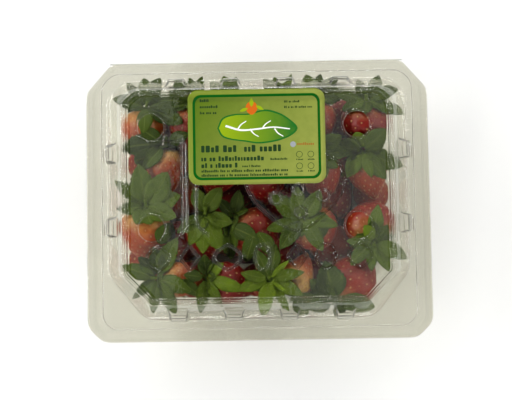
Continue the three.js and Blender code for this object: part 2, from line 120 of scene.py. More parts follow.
# Each berry: middle, width, length, the way its tip points seen from above, how far the tip dips,
# how ripe it is from 0 to 1, and its own leaves as (direction, length, width, lift, brightness).
BERRIES = [
    # back row
    dict(at=(-58.0, 34.0, 26.0), width=23, length=27, turn=262, dip=12, ripe=0.5, leaves=[
        (92, 14, 8.5, 3, 0.25), (165, 20, 8.5, 1, 0.1), (335, 20, 10, 2, 0.1), (272, 13, 8, 3, 0.3),
        (60, 15, 8, 0, 0.2), (125, 14, 6, 0, 0.15), (20, 15, 9, 0, 0.1)]),
    dict(at=(-34.0, 35.5, 25.5), width=23, length=27, turn=256, dip=18, ripe=0.8, leaves=[
        (128, 15, 8, 3, 0.2), (100, 15, 7, 1, 0.25), (75, 14, 6, 1, 0.2), (172, 18, 11, 1, 0.1),
        (150, 15, 8, 0, 0.15)]),
    dict(at=(-11.5, 37.0, 25.5), width=21, length=25, turn=280, dip=20, ripe=0.8, leaves=[
        (100, 14, 9, 2, 0.45), (75, 12, 7, 2, 0.4), (130, 13, 7, 1, 0.3)]),
    dict(at=(9.0, 37.5, 25.5), width=21, length=25, turn=262, dip=25, ripe=0.8, leaves=[
        (60, 15, 4.5, 3, 0.5), (95, 11, 7, 2, 0.4), (35, 13, 5, 2, 0.15), (120, 12, 6, 1, 0.3)]),
    dict(at=(29.5, 38.0, 25.5), width=22, length=26, turn=275, dip=15, ripe=0.75, leaves=[
        (105, 13.5, 9, 3, 0.55), (70, 14, 6, 2, 0.15), (40, 15, 6, 1, 0.15), (8, 17, 11, 0, 0.2)]),
    dict(at=(55.0, 36.0, 25.5), width=27, length=27, turn=268, dip=25, ripe=0.9, leaves=[
        (62, 13, 7, 2, 0.2), (335, 21, 7, 3, 0.25), (20, 16, 7, 4, 0.2), (165, 15, 7, 1, 0.25),
        (200, 12, 7, 2, 0.3), (110, 10, 6, 1, 0.1)]),
    # second row
    dict(at=(-46.0, 15.0, 27.0), width=20, length=25, turn=272, dip=4, ripe=0.45, leaves=[
        (183, 21, 11, 3, 0.0), (228, 15, 8, 3, 0.25), (150, 12, 8, 1, 0.1), (20, 12, 7, 1, 0.1)]),
    dict(at=(-21.0, 14.0, 25.5), width=24, length=27, turn=250, dip=25, ripe=0.9, leaves=[
        (255, 14, 8, 3, 0.5), (300, 14, 8, 2, 0.4), (200, 14, 8, 2, 0.3)]),
    dict(at=(4.0, 10.0, 25.0), width=24, length=27, turn=275, dip=25, ripe=1.0, leaves=[
        (200, 14, 8, 2, 0.3), (320, 12, 8, 2, 0.3)]),
    dict(at=(31.5, 11.0, 25.5), width=24, length=27, turn=282, dip=18, ripe=0.75, leaves=[
        (285, 14, 8, 3, 0.35), (320, 13, 8, 2, 0.3), (30, 14, 9, 2, 0.35), (350, 15, 9, 1, 0.3)]),
    dict(at=(56.0, 11.0, 26.0), width=21, length=25, turn=286, dip=14, ripe=0.6, leaves=[
        (115, 8, 8, 3, 0.6), (40, 14, 11, 2, 0.35), (340, 20, 11, 2, 0.3), (310, 17, 10, 2, 0.3),
        (240, 14, 8.5, 4, 0.5), (282, 13, 6, 4, 0.45), (165, 13, 9, 2, 0.3)]),
    # third row
    dict(at=(-58.0, -16.5, 25.0), width=27, length=28, turn=264, dip=22, ripe=0.5, leaves=[
        (95, 20, 13, 4, 0.35), (140, 19, 7, 1, 0.3), (55, 19, 13, 4, 0.45), (20, 17, 12, 4, 0.5),
        (180, 13, 7, 1, 0.2), (245, 8, 9, 4, 0.35), (290, 8, 9, 4, 0.35), (340, 15, 10, 4, 0.5)]),
    dict(at=(-26.0, -19.0, 24.5), width=22, length=26, turn=274, dip=30, ripe=0.95, leaves=[
        (265, 18, 11, 3, 0.75), (290, 18, 11, 3, 0.7), (240, 16, 8, 2, 0.6), (215, 15, 7, 1, 0.3),
        (60, 14, 9, 3, 0.45), (110, 13, 8, 2, 0.4), (340, 13, 8, 2, 0.5)]),
    dict(at=(-0.5, -17.5, 26.0), width=25, length=29, turn=322, dip=6, ripe=0.85, leaves=[
        (80, 12, 7, 2, 0.2), (130, 10, 6, 2, 0.15), (200, 9, 6, 1, 0.2), (250, 9, 6, 1, 0.3)]),
    dict(at=(28.5, -16.3, 25.0), width=25, length=27, turn=320, dip=52, ripe=0.75, leaves=[
        (195, 17, 7, 1, 0.35), (230, 17, 9, 0, 0.15), (348, 16, 7, 2, 0.45), (303, 17, 8, 2, 0.4),
        (140, 18, 10, 2, 0.35), (100, 15, 9, 3, 0.45), (55, 15, 9, 3, 0.4)]),
    dict(at=(56.5, -12.0, 25.0), width=26, length=27, turn=92, dip=44, ripe=0.8, leaves=[
        (85, 17, 8, 4, 0.5), (330, 18, 8.5, 2, 0.4), (298, 15, 7, 1, 0.45), (265, 13, 6, 1, 0.45),
        (225, 15, 7, 1, 0.35), (180, 12, 6, 1, 0.4), (120, 8, 6, 3, 0.75)]),
    # front row
    dict(at=(-50.0, -43.0, 15.0), width=18, length=20, turn=205, dip=20, ripe=0.8, leaves=[
        (320, 12, 7, 4, 0.2)]),
    dict(at=(-38.5, -39.5, 27.5), width=18, length=24, turn=354, dip=6, ripe=0.3, leaves=[
        (165, 18, 8, 2, 0.3), (62, 21, 10, 4, 0.45), (95, 14, 8, 3, 0.1), (335, 17, 9, 2, 0.4),
        (218, 20, 6, -2, 0.15), (295, 19, 8, 0, 0.4), (130, 12, 7, 1, 0.0), (265, 16, 7, 0, 0.3)]),
    dict(at=(-13.5, -41.5, 25.5), width=22, length=26, turn=348, dip=8, ripe=0.95, leaves=[
        (345, 19, 7, 5, 0.8), (40, 10, 6, 3, 0.85), (260, 16, 7, 0, 0.5), (300, 15, 6, 0, 0.5),
        (95, 10, 7, 2, 0.1), (170, 9, 6, 1, 0.1)]),
    dict(at=(6.0, -42.0, 22.0), width=20, length=22, turn=300, dip=78, ripe=0.7, leaves=[
        (256, 19, 8, 3, 0.9), (300, 17, 5, 2, 0.8), (200, 15, 7, 2, 0.7), (75, 16, 7, 2, 0.25),
        (110, 14, 7, 2, 0.25), (10, 16, 6, 4, 0.5), (335, 17, 7, 4, 0.5), (165, 13, 6, 2, 0.5),
        (40, 12, 3, 3, 1.0), (320, 10, 2, 3, 1.0), (280, 9, 2, 3, 1.0)]),
    dict(at=(20.5, -37.5, 26.0), width=17, length=23, turn=70, dip=12, ripe=0.0, leaves=[
        (345, 15, 8, 2, 0.25), (310, 16, 8, 0, 0.3)]),
    dict(at=(47.5, -39.5, 24.5), width=27, length=29, turn=50, dip=4, ripe=0.78, leaves=[
        (100, 19, 15, 4, 0.12), (140, 15, 11, 3, 0.2), (350, 18, 10, 5, 0.35), (300, 14, 8, 1, 0.2),
        (190, 14, 9, 1, 0.3), (165, 13, 8, 0, 0.2)]),
    # the layer under them, along the walls
    dict(at=(-31.0, -39.5, 11.5), width=20, length=23, turn=10, dip=0, ripe=0.9, leaves=[]),
    dict(at=(-2.0, -40.0, 11.5), width=20, length=24, turn=184, dip=0, ripe=0.8, leaves=[]),
    dict(at=(27.0, -39.5, 11.5), width=20, length=23, turn=352, dip=0, ripe=0.9, leaves=[]),
    dict(at=(-57.0, -27.0, 11.5), width=20, length=22, turn=80, dip=0, ripe=0.7, leaves=[]),
    dict(at=(-59.0, 0.0, 11.5), width=19, length=23, turn=265, dip=0, ripe=0.9, leaves=[]),
    dict(at=(-58.5, 23.0, 11.5), width=19, length=22, turn=100, dip=0, ripe=0.8, leaves=[]),
    dict(at=(56.0, -20.0, 11.5), width=20, length=22, turn=60, dip=0, ripe=0.9, leaves=[]),
    dict(at=(59.0, 1.0, 11.5), width=19, length=23, turn=275, dip=0, ripe=0.7, leaves=[]),
    dict(at=(58.5, 24.0, 11.5), width=19, length=22, turn=85, dip=0, ripe=0.9, leaves=[]),
    dict(at=(-44.0, 42.5, 11.5), width=20, length=23, turn=178, dip=0, ripe=0.9, leaves=[]),
    dict(at=(-21.5, 43.0, 11.5), width=19, length=22, turn=8, dip=0, ripe=0.7, leaves=[]),
    dict(at=(1.0, 43.0, 11.5), width=19, length=22, turn=172, dip=0, ripe=0.9, leaves=[]),
    dict(at=(22.5, 43.0, 11.5), width=19, length=22, turn=3, dip=0, ripe=0.8, leaves=[]),
    dict(at=(44.0, 42.5, 11.5), width=20, length=23, turn=186, dip=0, ripe=0.9, leaves=[]),
    # the layer under them, in the middle
    dict(at=(-38.0, -18.0, 12.5), width=22, length=25, turn=20, dip=5, ripe=0.8, leaves=[
        (60, 12, 9, 2, 0.2)]),
    dict(at=(-14.0, -20.0, 12.0), width=21, length=25, turn=200, dip=5, ripe=0.9, leaves=[
        (300, 15, 8, 4, 0.3), (250, 15, 8, 3, 0.2)]),
    dict(at=(11.5, -23.0, 12.5), width=22, length=24, turn=70, dip=5, ripe=0.9, leaves=[
        (280, 15, 8, 5, 0.2), (200, 14, 8, 4, 0.15)]),
    dict(at=(38.5, -22.0, 12.0), width=22, length=25, turn=330, dip=5, ripe=0.6, leaves=[
        (150, 16, 9, 3, 0.3)]),
    dict(at=(-39.0, 3.0, 12.5), width=21, length=24, turn=250, dip=5, ripe=0.6, leaves=[
        (60, 14, 8, 3, 0.1)]),
    dict(at=(-12.5, 0.0, 12.5), width=22, length=25, turn=80, dip=5, ripe=0.9, leaves=[
        (270, 15, 9, 4, 0.35), (330, 14, 9, 3, 0.1)]),
    dict(at=(14.0, -2.0, 12.0), width=21, length=24, turn=300, dip=5, ripe=0.9, leaves=[
        (120, 15, 9, 4, 0.1)]),
    dict(at=(41.0, 2.0, 12.0), width=21, length=25, turn=60, dip=5, ripe=0.8, leaves=[
        (240, 14, 8, 3, 0.2)]),
    dict(at=(-34.0, 25.0, 12.5), width=21, length=24, turn=10, dip=5, ripe=0.7, leaves=[
        (190, 15, 9, 2, 0.1)]),
    dict(at=(-8.0, 23.5, 12.0), width=21, length=24, turn=180, dip=5, ripe=0.9, leaves=[]),
    dict(at=(17.0, 24.0, 12.0), width=21, length=24, turn=90, dip=5, ripe=0.9, leaves=[]),
    dict(at=(41.5, 25.0, 12.0), width=20, length=24, turn=20, dip=5, ripe=0.7, leaves=[
        (200, 14, 8, 2, 0.2)]),
]
UNDER_LAYER_TOP = 16.0

# ---- small tools --------------------------------------------------------------


def new_piece(name, vertices, faces, smooth=True):
    """A mesh object at the origin from vertices in millimetres."""
    mesh = bpy.data.meshes.new(name)
    mesh.from_pydata((np.asarray(vertices, float) * MM).tolist(), [], [list(map(int, f)) for f in faces])
    mesh.update()
    if smooth:
        mesh.shade_smooth()
    piece = bpy.data.objects.new(name, mesh)
    bpy.context.scene.collection.objects.link(piece)
    return piece


def give_attribute(piece, name, values):
    """A number for each point of a piece."""
    attribute = piece.data.attributes.new(name, "FLOAT", "POINT")
    attribute.data.foreach_set("value", np.asarray(values, np.float32))


def give_vectors(piece, name, values):
    """A direction for each point of a piece."""
    attribute = piece.data.attributes.new(name, "FLOAT_VECTOR", "POINT")
    attribute.data.foreach_set("vector", np.asarray(values, np.float32).ravel())


def smoothstep(low, high, value):
    t = np.clip((value - low) / (high - low), 0, 1)
    return t * t * (3 - 2 * t)


def place(piece, body, nodes=()):
    """The piece rides on a body and stands for CAD nodes."""
    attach(piece, body)
    if nodes:
        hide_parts(*nodes)


# ---- materials ------------------------------------------------------------------


class Shader:
    """A material's node tree, with short ways to add and join its nodes."""

    def __init__(self, tree):
        self.tree = tree

    def node(self, kind, values=None, **settings):
        made = self.tree.nodes.new(kind)
        for key, value in settings.items():
            setattr(made, key, value)
        for key, value in (values or {}).items():
            if isinstance(value, bpy.types.NodeSocket):
                self.tree.links.new(value, made.inputs[key])
            else:
                made.inputs[key].default_value = value
        return made

    def feed(self, node, name, value):
        self.tree.links.new(value, node.inputs[name])

    def mix(self, share, low, high):
        """A colour between two colours."""
        made = self.node("ShaderNodeMix", data_type="RGBA")
        for socket, value in ((made.inputs[0], share), (made.inputs[6], low), (made.inputs[7], high)):
            if isinstance(value, bpy.types.NodeSocket):
                self.tree.links.new(value, socket)
            else:
                socket.default_value = value if socket.type != "RGBA" else rgba(value)
        return made.outputs[2]

    def maths(self, operation, *values):
        made = self.node("ShaderNodeMath", operation=operation)
        for index, value in enumerate(values):
            if isinstance(value, bpy.types.NodeSocket):
                self.tree.links.new(value, made.inputs[index])
            else:
                made.inputs[index].default_value = value
        return made.outputs[0]

    def ranged(self, value, from_low, from_high, to_low=0.0, to_high=1.0, smooth=True):
        made = self.node(
            "ShaderNodeMapRange", interpolation_type="SMOOTHSTEP" if smooth else "LINEAR",
            values={0: value, 1: from_low, 2: from_high, 3: to_low, 4: to_high},
        )
        return made.outputs[0]

    def attribute(self, name):
        return self.node("ShaderNodeAttribute", attribute_name=name).outputs["Fac"]

    def bump(self, height, strength, distance):
        values = {"Height": height, "Strength": strength, "Distance": distance}
        return self.node("ShaderNodeBump", values=values).outputs[0]


def rgba(colour):
    return (*tuple(colour)[:3], 1.0)


def new_material(name):
    """A material with its tree emptied, an output node and a Principled shader joined to it."""
    material = bpy.data.materials.new(name)
    material.use_nodes = True
    material.node_tree.nodes.clear()
    shader = Shader(material.node_tree)
    output = shader.node("ShaderNodeOutputMaterial")
    principled = shader.node("ShaderNodeBsdfPrincipled")
    shader.tree.links.new(principled.outputs[0], output.inputs[0])
    return material, shader, principled, output


def surface_wear_group():
    """A node group that gives a mottling mask and a fine relief from one noise size."""
    tree = bpy.data.node_groups.new("surface_wear", "ShaderNodeTree")
    tree.interface.new_socket("Size", in_out="INPUT", socket_type="NodeSocketFloat").default_value = 200.0
    tree.interface.new_socket("Mottle", in_out="OUTPUT", socket_type="NodeSocketFloat")
    tree.interface.new_socket("Relief", in_out="OUTPUT", socket_type="NodeSocketFloat")
    shader = Shader(tree)
    inward = shader.node("NodeGroupInput")
    outward = shader.node("NodeGroupOutput")
    coords = shader.node("ShaderNodeTexCoord").outputs["Object"]
    size = inward.outputs["Size"]
    coarse = shader.node("ShaderNodeTexNoise", values={"Vector": coords, "Scale": size, "Detail": 3.0})
    fine_size = shader.maths("MULTIPLY", size, 6.0)
    fine = shader.node("ShaderNodeTexNoise", values={"Vector": coords, "Scale": fine_size, "Detail": 2.0})
    tree.links.new(shader.ranged(coarse.outputs["Fac"], 0.35, 0.65), outward.inputs["Mottle"])
    tree.links.new(fine.outputs["Fac"], outward.inputs["Relief"])
    return tree


def wear(shader, size):
    group = bpy.data.node_groups.get("surface_wear") or surface_wear_group()
    made = shader.node("ShaderNodeGroup", node_tree=group)
    made.inputs["Size"].default_value = size
    return made.outputs["Mottle"], made.outputs["Relief"]


def film_material(settings):
    """Thin clear film: glass for the eye, and clear to the rays that light what is behind it."""
    material, shader, principled, output = new_material("clear_film")
    mottle, relief = wear(shader, 60.0)
    principled.inputs["Base Color"].default_value = rgba(settings.film_tint)
    principled.inputs["Transmission Weight"].default_value = 1.0
    principled.inputs["IOR"].default_value = 1.5
    roughness = shader.ranged(mottle, 0.0, 1.0, 0.012, 0.04, smooth=False)
    shader.feed(principled, "Roughness", roughness)
    shader.feed(principled, "Normal", shader.bump(relief, 0.06, 0.0004))
    clear = shader.node("ShaderNodeBsdfTransparent", values={"Color": rgba(settings.film_shadow)})
    path = shader.node("ShaderNodeLightPath")
    mixed = shader.node("ShaderNodeMixShader", values={0: path.outputs["Is Shadow Ray"]})
    shader.tree.links.new(principled.outputs[0], mixed.inputs[1])
    shader.tree.links.new(clear.outputs[0], mixed.inputs[2])
    shader.tree.links.new(mixed.outputs[0], output.inputs[0])
    return material


def flesh_material(settings):
    """Berry skin: pale at the shoulder of an unripe berry, deep red towards the tip, with painted shade in
    the pits.
    """
    material, shader, principled, _ = new_material("berry_skin")
    along = shader.attribute("along")
    ripe = shader.attribute("ripe")
    pit = shader.attribute("pit")
    mottle, relief = wear(shader, 140.0)
    edge = shader.maths("ADD", along, shader.maths("MULTIPLY", mottle, 0.12))
    colouring = shader.maths("ADD", edge, shader.maths("MULTIPLY", ripe, 0.55))
    redness = shader.ranged(colouring, 0.3, 0.78)
    red = shader.mix(shader.ranged(ripe, 0.3, 1.0), settings.flesh_orange, settings.flesh_red)
    skin = shader.mix(redness, settings.flesh_pale, red)
    # Painted shade: the skin is mixed towards a dark red where it sinks into the pit round each seed.
    deep = shader.mix(shader.maths("MULTIPLY", pit, 0.55), skin, settings.pit_shade)
    shader.feed(principled, "Base Color", deep)
    shader.feed(principled, "Roughness", shader.ranged(mottle, 0, 1, 0.36, 0.5, smooth=False))
    shader.feed(principled, "Normal", shader.bump(relief, 0.15, 0.0003))
    principled.inputs["Specular IOR Level"].default_value = 0.25
    principled.inputs["Subsurface Weight"].default_value = 0.12
    principled.inputs["Subsurface Radius"].default_value = (1.0, 0.25, 0.12)
    principled.inputs["Subsurface Scale"].default_value = 0.002
    return material


def seed_material(settings):
    """Small pale yellow seeds, some browner."""
    material, shader, principled, _ = new_material("seed")
    mottle, relief = wear(shader, 300.0)
    shader.feed(principled, "Base Color", shader.mix(mottle, settings.seed_pale, settings.seed_brown))
    shader.feed(principled, "Normal", shader.bump(relief, 0.1, 0.0001))
    principled.inputs["Roughness"].default_value = 0.4
    return material


def leaf_material(settings):
    """Leaves with a pale midrib, side veins and a brightness of their own."""
    material, shader, principled, _ = new_material("leaf")
    along, across, tone = (shader.attribute(name) for name in ("along", "across", "tone"))
    mottle, relief = wear(shader, 220.0)
    green = shader.mix(tone, settings.leaf_dark, settings.leaf_bright)
    green = shader.mix(shader.maths("MULTIPLY", mottle, 0.35), green, settings.leaf_mottle)
    side = shader.maths("ABSOLUTE", across)
    midrib = shader.ranged(side, 0.02, 0.13, 1.0, 0.0)
    forward, aside = shader.maths("MULTIPLY", along, 9.0), shader.maths("MULTIPLY", side, 2.4)
    slant = shader.maths("SUBTRACT", forward, aside)
    wave = shader.maths("FRACT", slant)
    vein = shader.ranged(shader.maths("ABSOLUTE", shader.maths("SUBTRACT", wave, 0.5)), 0.0, 0.1, 1.0, 0.0)
    veins = shader.maths("MAXIMUM", midrib, shader.maths("MULTIPLY", vein, 0.45))
    shown = shader.mix(shader.maths("MULTIPLY", veins, 0.5), green, settings.leaf_vein)
    shader.feed(principled, "Base Color", shown)
    height = shader.maths("ADD", shader.maths("MULTIPLY", veins, -1.0), shader.maths("MULTIPLY", relief, 0.4))
    shader.feed(principled, "Normal", shader.bump(height, 0.35, 0.0003))
    shader.feed(principled, "Roughness", shader.ranged(mottle, 0, 1, 0.5, 0.65, smooth=False))
    principled.inputs["Specular IOR Level"].default_value = 0.14
    return material


def core_material(settings):
    """The inside of the heap, darkened with painted shade: dark red with leafy patches."""
    material, shader, principled, _ = new_material("heap_core")
    mottle, relief = wear(shader, 70.0)
    shader.feed(principled, "Base Color", shader.mix(mottle, settings.core_shade, settings.leaf_dark))
    shader.feed(principled, "Normal", shader.bump(relief, 0.4, 0.001))
    principled.inputs["Roughness"].default_value = 0.6
    return material


def print_material(name, colours, low, high):
    """Ink on coated paper, fading from one colour to another along a line in the row's frame."""
    material, shader, principled, _ = new_material(name)
    coords = shader.node("ShaderNodeTexCoord").outputs["Object"]
    start, end = Vector(low) * MM, Vector(high) * MM
    way = (end - start) / (end - start).length_squared
    moved = shader.node("ShaderNodeVectorMath", operation="SUBTRACT", values={0: coords, 1: tuple(start)})
    ends = {0: moved.outputs[0], 1: tuple(way)}
    share = shader.node("ShaderNodeVectorMath", operation="DOT_PRODUCT", values=ends)
    fade = shader.ranged(share.outputs["Value"], 0.0, 1.0, smooth=False)
    mottle, relief = wear(shader, 260.0)
    ink = shader.mix(fade, colours[0], colours[1])
    faded = shader.mix(shader.maths("MULTIPLY", mottle, 0.12), ink, [0.75 * c for c in colours[0]])
    shader.feed(principled, "Base Color", faded)
    shader.feed(principled, "Normal", shader.bump(relief, 0.04, 0.0001))
    shader.feed(principled, "Roughness", shader.ranged(mottle, 0, 1, 0.4, 0.55, smooth=False))
    principled.inputs["Specular IOR Level"].default_value = 0.12
    return material


# ---- outlines ---------------------------------------------------------------------

ARC_STEPS = 8
STRAIGHT_STEPS = (126, 3, 168, 3, 126, 12, 160, 12)


def corners(shape, inset):
    """The eight corners of an outline moved in by an inset, each with its rounding."""
    side, front, back = shape["side"] - inset, shape["front"] + inset, shape["back"] - inset

    def moved(cut):
        along, across = cut
        slant = math.hypot(along, across)
        return (
            max(along - inset * (along + across - slant) / across, 0.4),
            max(across - inset * (along + across - slant) / along, 0.4),
        )

    (fx, fy), (bx, by) = moved(shape["front_cut"]), moved(shape["back_cut"])
    fr, br = max(shape["front_radius"] - inset, 0.6), max(shape["back_radius"] - inset, 0.6)
    return [
        (side, front + fy, fr), (side, back - by, br), (side - bx, back, br), (-side + bx, back, br),
        (-side, back - by, br), (-side, front + fy, fr), (-side + fx, front, fr), (side - fx, front, fr),
    ]


def outline(shape, inset=0.0):
    """An outline as points, counter-clockwise, with as many points whatever its size."""
    listed = corners(shape, inset)
    places = [np.array(c[:2]) for c in listed]
    arcs = []
    for index, (here, corner) in enumerate(zip(places, listed)):
        back, ahead = places[index - 1] - here, places[(index + 1) % len(places)] - here
        room = 0.49 * min(np.linalg.norm(back), np.linalg.norm(ahead))
        back, ahead = back / np.linalg.norm(back), ahead / np.linalg.norm(ahead)
        half = math.acos(np.clip(back @ ahead, -1, 1)) / 2
        reach = min(corner[2] / math.tan(half), room)
        start, end = here + back * reach, here + ahead * reach
        t = np.linspace(0, 1, ARC_STEPS + 1)[:, None]
        arcs.append((1 - t) ** 2 * start + 2 * t * (1 - t) * here + t ** 2 * end)
    points = []
    for index, arc in enumerate(arcs):
        points.extend(arc)
        ahead = arcs[(index + 1) % len(arcs)][0]
        for step in range(1, STRAIGHT_STEPS[index]):
            points.append(arc[-1] + (ahead - arc[-1]) * step / STRAIGHT_STEPS[index])
    return np.array(points)


def mixed(low, high, share, inset=0.0):
    return outline(low, inset) * (1 - share) + outline(high, inset) * share


def lug_push(points, face_out, wall, softness=0.5, half=LUG_HALF):
    """A row of points pushed out so that each lug's face stands at its distance from the wall's plan."""
    pushed = points.copy()
    sides = (
        (1, -1, wall["front"], END_LUGS, 0), (1, 1, wall["back"], END_LUGS, 0),
        (0, -1, -wall["side"], SIDE_LUGS, 1), (0, 1, wall["side"], SIDE_LUGS, 1),
    )
    for axis, sign, plane, places, along in sides:
        near = (points[:, axis] - plane) * sign > -12
        for middle in places:
            off = np.abs(points[:, along] - middle)
            share = 1 - smoothstep(half - softness, half + softness, off)
            target = (plane + sign * face_out) - points[:, axis]
            push = np.where(near & (target * sign > 0), target * share, 0)
            pushed[:, axis] += push
    return pushed


def rows_to_mesh(rows, flip=False):
    """Closed rows of equally many points, joined side by side."""
    count = len(rows[0])
    vertices = np.concatenate(rows)
    faces = []
    for level in range(len(rows) - 1):
        for i in range(count):
            a, b = level * count + i, level * count + (i + 1) % count
            faces.append((a, a + count, b + count, b) if flip else (a, b, b + count, a + count))
    return vertices, faces


def triangles_within(border, holes, inner=()):
    """Triangles inside a border and outside its holes, all of them loops, with inner points of their own."""
    points, loops = [], []
    for loop in [border] + holes:
        loops.append(list(range(len(points), len(points) + len(loop))))
        points.extend(loop)
    points.extend(inner)
    found, _, triangles, _, _, owners = delaunay_2d_cdt([Vector(p) for p in points], [], loops, 1, 1e-7)
    kept = [triangle for triangle, owner in zip(triangles, owners) if list(owner) == [0]]
    return np.array([tuple(p) for p in found]), np.array(kept)


def flat_ring(outer, inner, height):
    """Triangles between two loops, at the height that a function of the plan gives."""
    found, triangles = triangles_within(outer, [inner])
    return np.column_stack([found, height(found)]), triangles


def sheet_of(bands, flats, flip=False):
    """One sheet from bands of rows and from flat triangulated parts."""
    vertices, faces, start = [], [], 0
    for points, part in [rows_to_mesh(rows, flip) for rows in bands] + flats:
        vertices.append(points)
        for face in part:
            turned = face[::-1] if flip and len(face) == 3 else face
            faces.append(tuple(int(i) + start for i in turned))
        start += len(points)
    return np.vstack(vertices), faces


def at_height(points, z):
    return np.column_stack([points, np.full(len(points), float(z))])


def flange_warp(points, amount):
    """The slow waves of a thin flange, none at the hinge."""
    x, y = points[:, 0], points[:, 1]
    waves = np.sin(x * 0.071 + 1.1) * np.cos(y * 0.093 + 0.4) + 0.6 * np.sin(x * 0.17 - y * 0.13)
    return amount * waves * smoothstep(BACK, BACK - 18, y)


# ---- relief on the lid's panel --------------------------------------------------------

RIDGE_HALF = 0.8
RIDGE_HEIGHT = 0.55
BEAD_HEIGHT = 0.5


def arc_path(middle, radii, start, end, steps):
    angles = np.radians(np.linspace(start, end, steps))
    return np.column_stack([middle[0] + radii[0] * np.cos(angles), middle[1] + radii[1] * np.sin(angles)])


def leaf_path(middle, half_width, half_height):
    """A pointed oval, point up."""
    t = np.linspace(0, 1, 15)
    side = np.sin(math.pi * t) ** 0.85 * half_width
    up = (t * 2 - 1) * half_height
    right = np.column_stack([middle[0] + side, middle[1] + up])
    left = np.column_stack([middle[0] - side, middle[1] + up])[::-1]
    return np.concatenate([right, left[1:]])


def diamond_path(middle, half_width, half_height):
    """A diamond with slightly bowed sides."""
    points = [
        (0, 1), (0.56, 0.44), (1, 0), (0.56, -0.44), (0, -1), (-0.56, -0.44), (-1, 0), (-0.56, 0.44), (0, 1),
    ]
    return np.array([(middle[0] + x * half_width, middle[1] + y * half_height) for x, y in points])


def curve_path(points, steps=10):
    """A smooth path through a few points."""
    points = np.array(points, float)
    padded = np.vstack([2 * points[0] - points[1], points, 2 * points[-1] - points[-2]])
    t = np.linspace(0, 1, steps, endpoint=False)[:, None]
    parts = []
    for a, b, c, d in zip(padded, padded[1:], padded[2:], padded[3:]):
        square, cube = 2 * a - 5 * b + 4 * c - d, 3 * b - a - 3 * c + d
        parts.append(0.5 * (2 * b + (c - a) * t + square * t ** 2 + cube * t ** 3))
    return np.vstack(parts + [points[-1:]])


def panel_paths():
    """The centre lines of every raised line on the panel."""
    paths = []
    shapes = (
        (leaf_path, -49.2, 5.6), (diamond_path, -33.9, 4.6), (leaf_path, -15.4, 6.4), (arc_path, 1.4, 3.6),
        (diamond_path, 18.4, 4.8), (arc_path, 32.3, 4.8), (leaf_path, 49.0, 5.8),
    )
    row_middle, row_half = -28.8, 6.1
    for make, x, half_width in shapes:
        if make is arc_path:
            paths.append(arc_path((x, row_middle), (half_width, row_half), 0, 360, 33))
        else:
            paths.append(make((x, row_middle), half_width, row_half))
    # the outline of a plain berry
    paths.append(curve_path([
        (-6.5, 9.5), (-4.6, 3.0), (0.5, -4.6), (9.9, -12.8), (18.6, -16.4), (26.5, -13.2),
        (34.2, -6.0), (40.1, 0.6), (42.2, 9.0), (39.5, 16.5), (33.8, 20.5),
    ]))
    # its seeds
    for middle in ((8.4, -0.4), (19.6, 4.0), (31.6, 0.6), (20.6, -7.4)):
        paths.append(arc_path(middle, (2.9, 2.9), 0, 360, 25))
    # the long rib beside the label
    paths.append(curve_path([(-37.2, 28.6), (-37.2, -12.0), (-37.9, -17.6)], 12))
    paths.append(curve_path([(-34.9, 27.0), (-34.9, -12.0), (-35.6, -15.5)], 12))
    paths.append(curve_path([(-30.2, 5.0), (-30.2, -10.0), (-28.6, -14.6), (-25.2, -17.2)], 10))
    paths.append(np.array([(-45.6, 28.4), (-38.6, 28.4)]))
    return paths


def resampled(path, spacing):
    lengths = np.r_[0, np.cumsum(np.linalg.norm(np.diff(path, axis=0), axis=1))]
    places = np.linspace(0, lengths[-1], max(3, int(lengths[-1] / spacing)))
    return np.column_stack([np.interp(places, lengths, path[:, i]) for i in range(2)])


def distance_to(path, points):
    best = np.full(len(points), 1e9)
    for a, b in zip(path[:-1], path[1:]):
        span = b - a
        t = np.clip(((points - a) @ span) / max(span @ span, 1e-9), 0, 1)
        best = np.minimum(best, np.linalg.norm(points - a - t[:, None] * span, axis=1))
    return best


def under_label(points, margin):
    off = np.abs(points - np.array(LABEL_MIDDLE)) - np.array(LABEL_HALF)
    return off.max(1) < margin


def relief_height(points, paths):
    """How far the panel stands up at each point: lines, bumps and the collar of each vent."""
    height = np.zeros(len(points))
    for path in paths:
        low, high = path.min(0) - 2, path.max(0) + 2
        near = ((points > low) & (points < high)).all(1)
        if near.any():
            share = 1 - smoothstep(0.45 * RIDGE_HALF, RIDGE_HALF, distance_to(path, points[near]))
            height[near] = np.maximum(height[near], RIDGE_HEIGHT * share)
    for vent in VENTS:
        ring = np.linalg.norm(points - np.array(vent), axis=1)
        across = np.abs(ring - VENT_RADIUS - 0.6)
        height = np.maximum(height, BEAD_HEIGHT * (1 - smoothstep(0.1, 0.6, across)))
    return np.where(under_label(points, -0.5), 0, height)


def thinned(points, gap):
    """Points without those that share a small cell with an earlier one."""
    _, keep = np.unique(np.round(points / gap).astype(int), axis=0, return_index=True)
    return points[np.sort(keep)]


